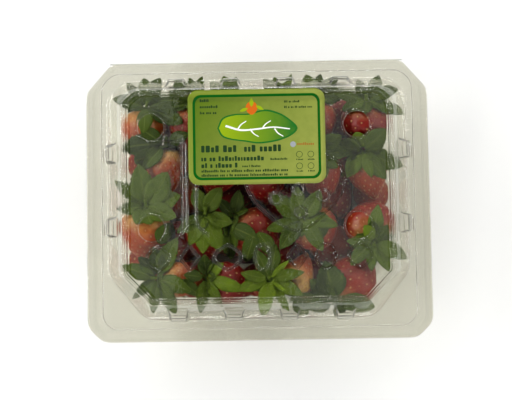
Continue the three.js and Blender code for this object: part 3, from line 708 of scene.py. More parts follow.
def panel_mesh(border, paths):
    """The flat panel inside a closed border, finely divided where it has relief, with its vents cut out."""
    rows = []
    offsets = np.array([-1.3, -1, -0.82, -0.64, -0.45, 0, 0.45, 0.64, 0.82, 1, 1.3]) * RIDGE_HALF
    for path in paths:
        line = resampled(path, 0.55)
        step = np.gradient(line, axis=0)
        across = np.column_stack([-step[:, 1], step[:, 0]]) / np.linalg.norm(step, axis=1)[:, None]
        rows.extend(line + across * offset for offset in offsets)
    circles = []
    for vent in VENTS:
        circles.append(arc_path(vent, (VENT_RADIUS, VENT_RADIUS), 0, 360, 73)[:-1])
        for out in (0.2, 0.4, 0.6, 0.8, 1.0, 1.2, 1.6):
            rows.append(arc_path(vent, (VENT_RADIUS + out,) * 2, 0, 360, 73)[:-1])
    grid = np.stack(np.meshgrid(np.arange(-64, 64.1, 4.0), np.arange(-48, 52.1, 4.0)), -1).reshape(-1, 2)
    inner = thinned(np.vstack(rows), 0.13)
    inner = inner[~under_label(inner, -1.5)]
    for vent in VENTS:
        inner = inner[np.linalg.norm(inner - np.array(vent), axis=1) > VENT_RADIUS + 0.1]
        grid = grid[np.linalg.norm(grid - np.array(vent), axis=1) > VENT_RADIUS + 2.5]
    inner = np.vstack([inner, grid])
    inner = inner[inside_loop(inner, border)]
    inner = inner[distance_to(np.vstack([border, border[:1]]), inner) > 0.4]
    return triangles_within(border, circles, inner)


def inside_loop(points, loop):
    """Which points lie inside a closed loop."""
    inside = np.zeros(len(points), bool)
    x, y = points[:, 0], points[:, 1]
    for (ax, ay), (bx, by) in zip(loop, np.roll(loop, -1, axis=0)):
        crosses = (ay > y) != (by > y)
        if ay != by:
            inside ^= crosses & (x < (bx - ax) * (y - ay) / (by - ay) + ax)
    return inside


# ---- lid, tray and hinge ------------------------------------------------------------------

SHOULDER_OUT = 0.9
EDGE_WARP = 0.12
LUG_OUT = 0.8
LUG_DRAFT = 1.2
WALL_HEIGHTS = (0.8, 1.6, 3, 4.5, 6, 7.2, 8.2, 8.9, 9.3, 9.5, 9.62, 10.4, 11.3, 12.1)

# Rows of a flange's edge and of the lid's rim: how far in from the outline, and how far below its top.
LID_EDGE_ROWS = ((0.08, 0.3), (0.28, 0.06), (0.6, 0.0), (1.5, 0.0), (1.8, -0.12), (2.2, -0.12), (2.5, 0.0))
TRAY_EDGE_ROWS = ((0.42, 0.3), (0.55, 0.06), (0.85, 0.0), (3.4, 0.0), (3.8, 0.14), (4.6, 0.14), (5.0, 0.0))
RIM_ROWS = (
    (-0.4, 0.9), (-0.15, 0.5), (0.15, 0.16), (0.5, 0.02), (0.9, 0.0), (1.1, 0.14), (1.25, 0.34),
    (1.5, 0.36), (1.7, 0.34), (1.85, 0.14), (2.05, 0.0), (2.7, 0.0), (2.95, 0.12), (3.1, 0.4),
    (3.25, 0.8), (3.4, 1.14), (3.6, 1.33), (3.9, 1.4), (5.0, 1.4),
)


def lid_bands():
    """The rows of the lid's outer face: the flange's edge, the ledge's step, then the dome and its rim."""
    bands = [[], [], []]

    def flat(band, shape, inset, z, warp=0.0):
        points = outline(shape, inset)
        bands[band].append(np.column_stack([points, z + flange_warp(points, warp)]))

    for inset, drop in LID_EDGE_ROWS:
        flat(0, FLANGE, inset, LID_FLANGE - drop, EDGE_WARP)
    for inset, rise in ((-0.7, 0.0), (-0.35, 0.04), (0.0, 0.22)):
        flat(1, LEDGE, inset, LID_FLANGE + rise, EDGE_WARP)
    for inset, drop in ((0.3, 0.3), (0.6, 0.07), (1.0, 0.0), (1.3, 0.0)):
        flat(1, LEDGE, inset, LEDGE_TOP - drop)
    shoulder = LID_TOP - 1.4
    for inset, rise in ((-1.2, 0.0), (-0.7, 0.03), (-0.25, 0.15), (0.05, 0.5)):
        points = lug_push(outline(FOOT, inset), LUG_OUT - inset, FOOT, 0.9 if rise < 0.05 else 0.5)
        bands[2].append(at_height(points, LEDGE_TOP + rise))
    reach = FOOT["side"] - RIM["side"]
    for height in WALL_HEIGHTS:
        z = LEDGE_TOP + height
        out = SHOULDER_OUT + (reach - SHOULDER_OUT) * (shoulder - z) / (shoulder - LEDGE_TOP)
        points = mixed(RIM, FOOT, out / reach)
        above = z - LUG_TOP
        if above < 0.05:
            face = LUG_OUT - LUG_DRAFT * (height / (LUG_TOP - LEDGE_TOP) + smoothstep(-1.3, 0.0, above))
            points = lug_push(points, face, FOOT)
        bands[2].append(at_height(points, z))
    for inset, drop in RIM_ROWS:
        flat(2, RIM, inset, LID_TOP - drop)
    return bands


def lid_mesh():
    """The whole lid as one sheet: bands of rows, the flats between them and the panel."""
    bands = lid_bands()
    flats = [
        flat_ring(bands[0][-1][:, :2], bands[1][0][:, :2], lambda p: LID_FLANGE + flange_warp(p, EDGE_WARP)),
        flat_ring(bands[1][-1][:, :2], bands[2][0][:, :2], lambda p: np.full(len(p), LEDGE_TOP)),
    ]
    paths = panel_paths()
    panel, triangles = panel_mesh(bands[2][-1][:, :2], paths)
    flats.append((np.column_stack([panel, PANEL_TOP + relief_height(panel, paths)]), triangles))
    return sheet_of(bands, flats)


def finish_film(piece, thickness):
    """Merges a film's seams and gives it its thickness inward."""
    work = bmesh.new()
    work.from_mesh(piece.data)
    bmesh.ops.remove_doubles(work, verts=work.verts, dist=0.00001)
    work.to_mesh(piece.data)
    work.free()
    piece.data.shade_smooth()
    wall = piece.modifiers.new("film", "SOLIDIFY")
    wall.thickness = thickness
    wall.offset = -1
    plain_mesh(piece)


def plain_mesh(piece):
    """Turns a piece's modifiers into its own mesh."""
    made = bpy.data.meshes.new_from_object(piece.evaluated_get(bpy.context.evaluated_depsgraph_get()))
    piece.modifiers.clear()
    piece.data = made
    made.name = piece.name


def tray_mesh():
    """The tray's outer face, from the flange's edge down the walls and in over the base."""
    bands = [[], []]
    under = TRAY_FACE - FILM

    def flat(band, shape, inset, z):
        bands[band].append(at_height(outline(shape, inset), z))

    for inset, drop in TRAY_EDGE_ROWS:
        flat(0, FLANGE, inset, under - drop)
    for inset, drop in ((-1.4, 0.0), (-0.7, 0.05), (-0.25, 0.3), (0.0, 0.9)):
        flat(1, MOUTH, inset, under - drop)
    for share in (0.08, 0.13, 0.18, 0.26, 0.36, 0.46, 0.56, 0.66, 0.76, 0.84, 0.9):
        points = mixed(MOUTH, BASE, share)
        bulge = smoothstep(0.1, 0.2, share) * (1 - smoothstep(0.8, 0.9, share))
        bands[1].append(at_height(flute_push(points, bulge), under * (1 - share)))
    for inset, z in ((0.25, 1.5), (0.7, 0.75), (1.4, 0.22), (2.2, 0.02), (3.0, 0.0), (7.2, 0.0), (7.7, 0.06),
                     (8.2, 0.4), (8.8, 1.0), (9.4, 1.45), (9.9, BASE_RISE), (10.8, BASE_RISE)):
        flat(1, BASE, inset, z)
    border = bands[1][-1][:, :2]
    hole = border * 0.02
    return sheet_of(bands, [
        flat_ring(bands[0][-1][:, :2], bands[1][0][:, :2], lambda p: np.full(len(p), under)),
        flat_ring(border, hole[::8], lambda p: np.full(len(p), BASE_RISE)),
        (at_height(hole[::8], BASE_RISE), [tuple(range(len(hole[::8])))[::-1]]),
    ], flip=True)


def flute_push(points, amount):
    """Soft upright flutes along the tray's walls."""
    pushed = points.copy()
    half_x, half_y = np.abs(points[:, 0]).max(), points[:, 1].max()
    front = points[:, 1].min()
    for axis, plane, sign, along, places in (
        (1, front, -1, 0, END_LUGS), (1, half_y, 1, 0, END_LUGS),
        (0, half_x, 1, 1, SIDE_LUGS), (0, -half_x, -1, 1, SIDE_LUGS),
    ):
        near = np.abs(points[:, axis] - plane) < 0.6
        for middle in places:
            share = 1 - smoothstep(2.2, 4.6, np.abs(points[:, along] - middle))
            pushed[:, axis] += np.where(near, sign * amount * share, 0)
    return pushed


def hinge_mesh():
    """The folded strip that joins the two flanges."""
    radius = SPLIT + HINGE_FILM - TRAY_FACE
    middle_y = BACK - radius - HINGE_FILM
    turns = np.radians(np.linspace(-90, 90, 13))
    section = [(middle_y + radius * math.cos(t), SPLIT + radius * math.sin(t)) for t in turns]
    xs = np.linspace(-HINGE_HALF, HINGE_HALF, 75)
    vertices = [(x, y, z) for x in xs for y, z in section]
    count = len(section)
    faces = []
    for i in range(len(xs) - 1):
        for j in range(count - 1):
            a = i * count + j
            faces.append((a, a + count, a + count + 1, a + 1))
    return np.array(vertices), faces


# ---- label -----------------------------------------------------------------------------


def rounded_box(middle, half, radius, steps=6):
    """A rounded rectangle as a loop of points."""
    points = []
    for sx, sy, start in ((1, 1, 0), (-1, 1, 90), (-1, -1, 180), (1, -1, 270)):
        centre = (middle[0] + sx * (half[0] - radius), middle[1] + sy * (half[1] - radius))
        points.append(arc_path(centre, (radius, radius), start, start + 90, steps + 1))
    return np.vstack(points)


def greeked_line(start, end, middle_y, height, seed):
    """A line of plain blocks in the place of print, from a start to an end."""
    random = np.random.default_rng(seed)
    blocks, x = [], start
    while x < end - 0.3 * height:
        width = height * random.uniform(0.45, 0.85)
        tall = height * random.choice([1.0, 1.0, 1.0, 1.35])
        middle = (x + width / 2, middle_y + (tall - height) / 2)
        blocks.append(rounded_box(middle, (width / 2, tall / 2), 0.12 * height, 1))
        x += width + height * (0.85 if random.random() < 0.14 else 0.22)
    return blocks


def label_fields():
    """Every printed shape on the label as (material name, loop), later ones over earlier ones."""
    cx, cy = LABEL_MIDDLE
    hx, hy = LABEL_HALF
    fields = [
        ("label_rim", rounded_box((cx, cy), (hx, hy), 5.0, 10)),
        ("label_border", rounded_box((cx, cy), (hx - 2.3, hy - 2.3), 4.2, 10)),
        ("label_field", rounded_box((cx, cy), (hx - 3.6, hy - 3.6), 3.2, 10)),
    ]
    leaf = curve_path([
        (-19.6, 34.5), (-17.0, 39.5), (-11.0, 41.4), (-4.0, 41.6), (4.0, 43.4), (11.0, 41.6), (16.0, 38.4),
        (19.8, 34.2), (17.0, 30.6), (10.0, 27.8), (1.0, 26.6), (-6.0, 27.6), (-13.5, 28.8), (-17.6, 30.6),
        (-19.6, 34.5),
    ], 5)[:-1]
    fields.append(("print_deep", leaf * 1.0))
    middle = leaf.mean(0)
    fields.append(("print_leaf", middle + (leaf - middle) * (0.955, 0.9)))
    vein = curve_path([(-15.5, 35.6), (-8.0, 33.4), (0.0, 33.8), (8.0, 34.6), (16.0, 33.6)], 5)
    fields.append(("print_white", ribbon(vein, 0.5)))
    for x, up in ((-9.5, 1), (-3.5, -1), (2.5, 1), (8.5, -1)):
        side = curve_path([(x, 33.9), (x + 1.6, 33.9 + 2.2 * up), (x + 4.2, 33.9 + 3.9 * up)], 4)
        fields.append(("print_white", ribbon(side, 0.36)))
    fields.append(("print_berry", berry_loop((-2.6, 44.2), 2.9, 3.3)))
    fields.append(("print_lime", leaf_loop((-2.6, 46.9), 1.0, 2.1, 90)))
    fields.append(("print_lime", leaf_loop((-6.4, 43.4), 0.8, 2.2, 20)))
    fields.append(("print_lime", leaf_loop((1.4, 44.3), 0.8, 2.2, 150)))
    lines = (
        (-27.6, -9.6, 23.9, 2.5, 1), (-6.6, 12.4, 23.9, 2.5, 2),
        (-27.6, 3.6, 19.2, 1.8, 3), (6.2, 14.6, 18.8, 0.8, 4),
        (-27.6, -9.4, 15.9, 1.8, 5), (-7.6, 1.2, 15.5, 0.8, 6),
        (-27.6, 14.4, 13.3, 1.0, 7), (-27.6, 14.4, 11.2, 1.0, 8),
        (-28.0, -23.0, 48.0, 1.0, 9), (-28.0, -19.4, 45.0, 1.0, 10), (-28.0, -19.6, 42.0, 1.0, 11),
        (13.4, 20.6, 47.0, 0.8, 12), (13.4, 27.2, 44.3, 0.8, 13),
        (19.4, 27.8, 26.0, 1.0, 14),
    )
    for start, end, y, height, seed in lines:
        name = "print_brown" if seed == 14 else "print_dark"
        fields.extend((name, block) for block in greeked_line(start, end, y, height, seed))
    fields.append(("print_grey", arc_path((17.4, 26.0), (1.4, 1.4), 0, 360, 19)[:-1]))
    for x in (20.4, 26.0):
        for y in (21.0, 15.3):
            fields.append(("print_dark", arc_path((x, y), (1.6, 1.6), 0, 360, 25)[:-1]))
            fields.append(("label_field", arc_path((x, y), (1.35, 1.35), 0, 360, 25)[:-1]))
            caption = greeked_line(x - 1.5, x + 1.7, y - 2.6, 0.55, int(x + y))
            fields.extend(("print_dark", block) for block in caption)
    return [(name, facing_up(loop)) for name, loop in fields]


def facing_up(loop):
    """A loop that runs counter-clockwise."""
    after = np.roll(loop, -1, axis=0)
    area = (loop[:, 0] * after[:, 1] - loop[:, 1] * after[:, 0]).sum()
    return loop if area > 0 else loop[::-1]


def ribbon(path, half):
    """A path with a width, as a loop."""
    step = np.gradient(path, axis=0)
    across = np.column_stack([-step[:, 1], step[:, 0]]) / np.linalg.norm(step, axis=1)[:, None]
    taper = np.linspace(1, 0.55, len(path))[:, None] * half
    return np.vstack([path + across * taper, (path - across * taper)[::-1]])


def berry_loop(middle, half_width, half_height):
    """A plain round berry with a blunt point below."""
    angles = np.radians(np.linspace(0, 360, 25)[:-1])
    narrow = 1 - 0.22 * np.maximum(0, -np.sin(angles))
    return np.column_stack([
        middle[0] + half_width * np.cos(angles) * narrow, middle[1] + half_height * np.sin(angles),
    ])


def leaf_loop(middle, half_width, half_length, turn):
    loop = leaf_path((0, 0), half_width, half_length)[:-1]
    angle = math.radians(turn - 90)
    spin = np.array([[math.cos(angle), math.sin(angle)], [-math.sin(angle), math.cos(angle)]])
    return loop @ spin + np.array(middle)


def label_height(y):
    """The label lies on the panel and laps up over the rim behind it."""
    rim_edge = RIM["back"] - 4.6
    return PANEL_TOP + 0.12 + PANEL_SINK * smoothstep(rim_edge - 2.6, rim_edge + 0.9, y)


def label_mesh():
    """The label divided along every printed edge, with the material of each face."""
    fields = label_fields()
    points, faces = [], []
    for _, loop in fields:
        faces.append(list(range(len(points), len(points) + len(loop))))
        points.extend(loop)
    outer = fields[0][1]
    low, high = outer.min(0), outer.max(0)
    across, along = np.arange(low[0] + 1.5, high[0] - 1, 3.0), np.arange(low[1] + 1.5, high[1] - 1, 3.0)
    extra = [(x, y) for y in along for x in across]
    ramp = RIM["back"] - 4.6
    across, along = np.arange(low[0] + 1.0, high[0] - 0.5, 1.5), np.linspace(ramp - 3.0, ramp + 1.2, 9)
    extra += [(x, y) for y in along for x in across]
    extra = np.array(extra)
    extra = extra[inside_loop(extra, outer)]
    points.extend(extra)
    found, _, triangles, _, _, owners = delaunay_2d_cdt([Vector(p) for p in points], [], faces, 1, 1e-6)
    found = np.array([tuple(p) for p in found])
    names = []
    kept = []
    for triangle, owner in zip(triangles, owners):
        if owner:
            kept.append(triangle)
            names.append(fields[max(owner)][0])
    vertices = np.column_stack([found, label_height(found[:, 1])])
    return vertices, kept, names


# ---- berries ------------------------------------------------------------------------------

SEED_ROWS = 13
SEEDS_ROUND = 14
GRID_STEP = 4
PIT_DEPTH = 0.42
PIT_RADIUS = 0.95


def berry_turn(berry):
    """The rotation that takes a berry drawn along +Z, tip up, to the way it lies."""
    turn, dip = math.radians(berry["turn"]), math.radians(berry["dip"])
    tip = Vector((math.cos(turn) * math.cos(dip), math.sin(turn) * math.cos(dip), -math.sin(dip)))
    return np.array(Vector((0, 0, 1)).rotation_difference(tip).to_matrix())


def berry_width(share):
    return np.sin(math.pi * share ** 0.72) ** 0.72 * (1 - 0.12 * share)


def berry_surface(berry, around, along, seed):
    """Points of a berry's smooth surface, for turns from 0 to 1 and places from crown, 0, to tip, 1."""
    random = np.random.default_rng(seed)
    lobes = random.uniform(-1, 1, 4)
    angle = around * 2 * math.pi
    share = (1 - np.cos(np.clip(along, 0, 1) * math.pi)) / 2
    radius = berry["width"] / 2 * berry_width(np.clip(share, 0, 1))
    uneven = 0.035 * np.sin(2 * angle + 6 * lobes[0]) + 0.025 * np.sin(3 * angle + 6 * lobes[1])
    radius = radius * (1 + uneven)
    bend = 0.04 * berry["length"] * np.sin(share * math.pi)
    height = (share - 0.5) * berry["length"]
    to_x, to_y = radius * np.cos(angle) + bend * lobes[2], radius * np.sin(angle) + bend * lobes[3]
    local = np.stack([to_x, to_y, height], -1)
    return local


def to_row(berry, local):
    return local @ berry_turn(berry).T + np.array(berry["at"])


def seed_places(berry, seed):
    """Where a berry's seeds sit, as turns and places along it, in offset rows that thin out at the ends."""
    random = np.random.default_rng(seed + 500)
    places = []
    for row in range(1, SEED_ROWS):
        along = (row + 0.5) / SEED_ROWS
        ring = math.pi * berry["width"] * berry_width((1 - math.cos(along * math.pi)) / 2)
        skip = 1 if ring > SEEDS_ROUND * 2.3 else 2
        if ring < 6:
            continue
        for column in range(0, SEEDS_ROUND, skip):
            around = (column + 0.5 * (row % 2)) / SEEDS_ROUND
            if random.random() > 0.06:
                places.append((around, along))
    return np.array(places)


def berry_grid(berry, seed, fine):
    """One berry's skin with its pits, and for each point how far along it is and how deep in a pit."""
    columns = SEEDS_ROUND * (GRID_STEP if fine else 2)
    rows = SEED_ROWS * (GRID_STEP if fine else 1)
    around = np.arange(columns) / columns
    along = np.linspace(0, 1, rows + 1)[1:-1]
    turns, places = np.meshgrid(around, along)
    points = berry_surface(berry, turns.ravel(), places.ravel(), seed)
    poles = berry_surface(berry, np.zeros(2), np.array([0.0, 1.0]), seed)
    step = 0.004
    tangent_a = berry_surface(berry, turns.ravel() + step, places.ravel(), seed) - points
    tangent_b = berry_surface(berry, turns.ravel(), places.ravel() + step, seed) - points
    normal = np.cross(tangent_a, tangent_b)
    normal /= np.linalg.norm(normal, axis=1)[:, None]
    pit = np.zeros(len(points))
    if fine:
        seeds = seed_places(berry, seed)
        centres = berry_surface(berry, seeds[:, 0], seeds[:, 1], seed)
        gap = np.linalg.norm(points[:, None] - centres[None], axis=2).min(1)
        pit = np.exp(-(gap / PIT_RADIUS) ** 2)
        points = points - normal * (pit * PIT_DEPTH)[:, None]
    vertices = np.vstack([poles[:1], points, poles[1:]])
    faces = []
    last = len(vertices) - 1
    rings = rows - 1
    for i in range(columns):
        after = (i + 1) % columns
        faces.append((0, 1 + after, 1 + i))
        for j in range(rings - 1):
            a, b = 1 + j * columns + i, 1 + j * columns + after
            faces.append((a, b, b + columns, a + columns))
        tail = 1 + (rings - 1) * columns
        faces.append((tail + i, tail + after, last))
    share = np.r_[0, (1 - np.cos(places.ravel() * math.pi)) / 2, 1]
    return to_row(berry, vertices), faces, share, np.r_[0, pit, 0]


def heap_top(points):
    """The height of the berries' upper surface over each point of the plan, from their rough ellipsoids."""
    top = np.full(len(points), -50.0)
    for berry in BERRIES:
        spin = berry_turn(berry)
        wide, long = 1.07 * berry["width"], 1.07 * berry["length"]
        inverse = spin @ np.diag([4 / wide ** 2, 4 / wide ** 2, 4 / long ** 2]) @ spin.T
        flat = points[:, :2] - np.array(berry["at"][:2])
        a = inverse[2, 2]
        b = 2 * (flat @ inverse[:2, 2])
        c = np.einsum("ij,jk,ik->i", flat, inverse[:2, :2], flat) - 1
        inside = b * b - 4 * a * c
        z = (-b + np.sqrt(np.maximum(inside, 0))) / (2 * a) + berry["at"][2]
        top = np.where(inside > 0, np.maximum(top, z), top)
    return top


LID_UNDER = PANEL_TOP - FILM
WALL_CLEAR = 1.0
LEDGE_ROOM = (SPLIT + 0.2, LEDGE_TOP - FILM - 0.35)


def room_to(points, shape):
    """How far inside an outline each point of the plan lies, less than nothing outside it."""
    side = shape["side"] - np.abs(points[:, 0])
    ahead, behind = points[:, 1] - shape["front"], shape["back"] - points[:, 1]
    room = np.minimum(side, np.minimum(ahead, behind))
    for (along, across), end in ((shape["front_cut"], ahead), (shape["back_cut"], behind)):
        room = np.minimum(room, (side * across + end * along - along * across) / math.hypot(along, across))
    return room


def kept_inside(points):
    """Leaf points held under the lid, above the tray's walls and within the gap under the lid's ledge."""
    held = points.copy()
    held[:, 0] = np.clip(held[:, 0], -(FOOT["side"] - 1.4), FOOT["side"] - 1.4)
    held[:, 1] = np.clip(held[:, 1], FOOT["front"] + 1.4, LEDGE["back"] - 1.2)
    along, across = FOOT["front_cut"]
    slant = math.hypot(along, across)
    side, ahead = FOOT["side"] - np.abs(held[:, 0]), held[:, 1] - FOOT["front"]
    over = np.maximum(1.4 - (side * across + ahead * along - along * across) / slant, 0)
    held[:, 0] -= np.sign(held[:, 0]) * over * across / slant
    held[:, 1] += over * along / slant
    to_foot, to_rim = room_to(held, FOOT) - WALL_CLEAR, room_to(held, RIM) - WALL_CLEAR
    share = np.clip(to_foot / np.maximum(to_foot - to_rim, 0.5), 0, 1)
    ceiling = LEDGE_TOP + share * (LID_UNDER - LEDGE_TOP) - 0.45
    ceiling = np.where(to_foot < 0, LEDGE_ROOM[1], ceiling)
    to_mouth, to_base = room_to(held, MOUTH) - WALL_CLEAR, room_to(held, BASE) - WALL_CLEAR
    climb = np.clip(-to_base / np.maximum(to_mouth - to_base, 0.5), 0, 1)
    ground = np.where(to_mouth < 0, LEDGE_ROOM[0], climb * TRAY_FACE + 2.4 * (1 - climb))
    held[:, 2] = np.clip(held[:, 2], ground, np.maximum(ceiling, ground))
    return held


LEAF_ROWS = 19
LEAF_COLUMNS = 6
TOOTHED_FROM = 8.5


def leaf_sheet(base, turn, length, width, lift, order, seed, drape=True):
    """A leaf as a small grid: a bent midrib and a folded, waved blade, over the berries and under the lid."""
    random = np.random.default_rng(seed)
    angle = math.radians(turn + random.uniform(-4, 4))
    way = np.array([math.cos(angle), math.sin(angle), 0.0])
    side = np.array([-way[1], way[0], 0.0])
    t = np.linspace(0, 1, LEAF_ROWS)[:, None]
    curl = random.uniform(-1.0, 1.0)
    sway = side * random.uniform(-0.08, 0.08) * length
    start = np.array(base, float)
    middle = start + way * length * 0.5 + sway + np.array([0, 0, lift * 0.8 + 1.2])
    end = start + way * length + np.array([0, 0, lift + curl])
    spine = (1 - t) ** 2 * start + 2 * t * (1 - t) * middle + t ** 2 * end
    s = np.linspace(-1, 1, LEAF_COLUMNS + 1)
    share = t[:, 0]
    bluntness = random.uniform(0.6, 0.85)
    half = width / 2 * np.maximum(np.sin(math.pi * share ** 0.85) ** bluntness, 0.3 * (1 - share))
    if width >= TOOTHED_FROM:
        half *= 1 - 0.14 * (np.arange(LEAF_ROWS) % 2) * smoothstep(0.35, 0.6, share)
    half[-1] = 0.12
    grid = spine[:, None, :] + (half[:, None] * s[None, :])[..., None] * side
    fold = random.uniform(0.1, 0.3)
    wave = 0.35 * np.sin(share[:, None] * 9 + seed) * s[None, :] ** 2
    grid[..., 2] += fold * half[:, None] * np.abs(s)[None, :] + wave
    points = grid.reshape(-1, 3)
    if drape:
        floor = heap_top(points) + 0.5 + 0.28 * order
        points[:, 2] = np.maximum(points[:, 2], np.minimum(floor, LID_UNDER - 0.5 - 0.12 * order))
        points[:, 2] = np.minimum(points[:, 2], LID_UNDER - 0.5 - 0.3 * (order % 4))
    points = kept_inside(points)
    faces = []
    count = LEAF_COLUMNS + 1
    for i in range(LEAF_ROWS - 1):
        for j in range(LEAF_COLUMNS):
            a = i * count + j
            faces.append((a, a + 1, a + 1 + count, a + count))
    return points, faces, np.repeat(share, count), np.tile(s, LEAF_ROWS)


def fitting_length(base, turn, length):
    """A leaf's length, cut down until its tip lies inside the walls, or under the ledge behind them."""
    way = np.array([math.cos(math.radians(turn)), math.sin(math.radians(turn))])
    for _ in range(12):
        tip = (np.array(base[:2]) + way * length)[None]
        room = room_to(tip, LEDGE) - 0.3 if tip[0, 1] > 45 and abs(tip[0, 0]) < 66 else room_to(tip, FOOT)
        if room[0] > 1.6:
            break
        length *= 0.94
    return length


def small_sepals(berry, seed, count=7):
    """A ring of short sepals that hug the berry's shoulder, drawn in the berry's own frame."""
    random = np.random.default_rng(seed)
    sheets = []
    for i in range(count):
        turn = (i + random.uniform(-0.2, 0.2)) / count
        reach = random.uniform(0.15, 0.24)
        t = np.linspace(0, 1, 7)[:, None]
        s = np.linspace(-1, 1, 5)[None, :]
        half = 0.03 + 0.05 * np.sin(math.pi * t ** 0.8)
        half = np.where(t > 0.99, 0.002, half)
        spread = 0.5 / np.maximum(np.sin(math.pi * (0.05 + t * reach)), 0.2)
        around = turn + s * half * np.where(t > 0.1, spread, 1)
        along = np.broadcast_to(0.03 + t * reach, around.shape)
        points = berry_surface(berry, around.ravel(), along.ravel(), seed - 900)
        lift = (0.5 + random.uniform(0.5, 2.2) * t ** 2 + 0.3 * np.abs(s)).ravel()
        outward = points * np.array([1, 1, 0.3])
        outward /= np.linalg.norm(outward, axis=1)[:, None] + 1e-9
        points = points + outward * lift[:, None] - np.array([0, 0, 0.5])
        faces = [(a, a + 1, a + 6, a + 5) for i2 in range(6) for a in range(i2 * 5, i2 * 5 + 4)]
        sheets.append((to_row(berry, points), faces, np.repeat(t[:, 0], 5), np.tile(s[0], 7)))
    return sheets


def crown_of(berry):
    """The middle of a berry's crown and the direction out of it."""
    spin = berry_turn(berry)
    out = -spin[:, 2]
    return np.array(berry["at"]) + out * berry["length"] * 0.5, out


def leaf_parts():
    """Every leaf sheet with its brightness."""
    parts = []
    for number, berry in enumerate(BERRIES):
        base, out = crown_of(berry)
        random = np.random.default_rng(number)
        for order, (turn, length, width, lift, tone) in enumerate(berry["leaves"]):
            way = math.radians(turn)
            start = base + out * 0.8 + 1.6 * np.array([math.cos(way), math.sin(way), 0])
            seed = number * 40 + order
            length = fitting_length(start, turn, length)
            parts.append((*leaf_sheet(start, turn, length, width, lift, order, seed), tone))
        for sheet in small_sepals(berry, number + 900):
            parts.append((kept_inside(sheet[0]), *sheet[1:], random.uniform(0.05, 0.35)))
    return parts


def stem_part(berry, number):
    """A berry's short cut stalk and the hub it stands on."""
    random = np.random.default_rng(number + 70)
    base, out = crown_of(berry)
    length = random.uniform(2.0, 4.5)
    bend = np.array([random.uniform(-1, 1), random.uniform(-1, 1), 0]) * 0.8
    rings, sides = 7, 10
    profile = (
        (-0.8, 3.2), (0.5, 2.6), (0.9, 1.3), (1.3, 1.0),
        (1.3 + length * 0.5, 0.9), (1.3 + length, 1.05), (1.35 + length, 0.5),
    )
    spin = berry_turn(berry)
    points = []
    for along, radius in profile:
        for i in range(sides):
            angle = 2 * math.pi * i / sides
            shift = bend * max(0, along) / 5
            around = spin[:, 0] * radius * math.cos(angle), spin[:, 1] * radius * math.sin(angle)
            points.append(base + out * along + shift + around[0] + around[1])
    faces = []
    for j in range(rings - 1):
        for i in range(sides):
            a, b = j * sides + i, j * sides + (i + 1) % sides
            faces.append((b, a, a + sides, b + sides))
    faces.append(tuple(range(sides)))
    faces.append(tuple(reversed(range((rings - 1) * sides, rings * sides))))
    return kept_inside(np.array(points)), faces


def joined_piece(name, parts, attributes):
    """One piece from many small meshes, with a number for each point under each name."""
    vertices, faces, values = [], [], {key: [] for key in attributes}
    start = 0
    for part in parts:
        points, part_faces, *numbers = part
        vertices.append(points)
        faces.extend(tuple(i + start for i in face) for face in part_faces)
        for key, number in zip(attributes, numbers):
            values[key].append(np.broadcast_to(number, len(points)))
        start += len(points)
    piece = new_piece(name, np.vstack(vertices), faces)
    for key in attributes:
        give_attribute(piece, key, np.concatenate(values[key]))
    return piece


SEED_SIZE = {"Seed Length": 1.25, "Seed Width": 0.8, "Seed Thickness": 0.55}


def seed_tree(material):
    """Geometry nodes that set a small seed on every point, facing out and lying along the berry."""
    tree = bpy.data.node_groups.new("seeds_on_points", "GeometryNodeTree")
    face = tree.interface
    face.new_socket("Geometry", in_out="INPUT", socket_type="NodeSocketGeometry")
    for name, value in SEED_SIZE.items():
        socket = face.new_socket(name, in_out="INPUT", socket_type="NodeSocketFloat")
        socket.default_value = value * MM
    face.new_socket("Geometry", in_out="OUTPUT", socket_type="NodeSocketGeometry")
    maker = Shader(tree)
    inward, outward = maker.node("NodeGroupInput"), maker.node("NodeGroupOutput")
    ball = maker.node("GeometryNodeMeshUVSphere", values={"Segments": 6, "Rings": 3, "Radius": 0.5})
    sizes = {axis: inward.outputs[name] for axis, name in zip("XYZ", SEED_SIZE)}
    size = maker.node("ShaderNodeCombineXYZ", values=sizes)
    shaped = maker.node(
        "GeometryNodeTransform", values={"Geometry": ball.outputs["Mesh"], "Scale": size.outputs[0]})
    facing, pointing = (
        maker.node("GeometryNodeInputNamedAttribute", data_type="FLOAT_VECTOR", values={"Name": name})
        for name in ("facing", "pointing")
    )
    turned = maker.node("FunctionNodeAxesToRotation", primary_axis="Z", secondary_axis="X", values={
        "Primary Axis": facing.outputs["Attribute"], "Secondary Axis": pointing.outputs["Attribute"]})
    varied = maker.node(
        "FunctionNodeRandomValue", values={"Min": 0.8, "Max": 1.15, "Seed": 7}, data_type="FLOAT")
    float_out = [s for s in varied.outputs if s.type == "VALUE" and s.enabled][0]
    spread = maker.node("GeometryNodeInstanceOnPoints", values={
        "Points": inward.outputs["Geometry"], "Instance": shaped.outputs["Geometry"],
        "Rotation": turned.outputs["Rotation"], "Scale": float_out})
    real = maker.node("GeometryNodeRealizeInstances", values={"Geometry": spread.outputs["Instances"]})
    smooth = maker.node("GeometryNodeSetShadeSmooth", values={"Geometry": real.outputs["Geometry"]})
    dressed = maker.node("GeometryNodeSetMaterial", values={"Geometry": smooth.outputs["Geometry"]})
    dressed.inputs["Material"].default_value = material
    tree.links.new(dressed.outputs["Geometry"], outward.inputs["Geometry"])
    return tree


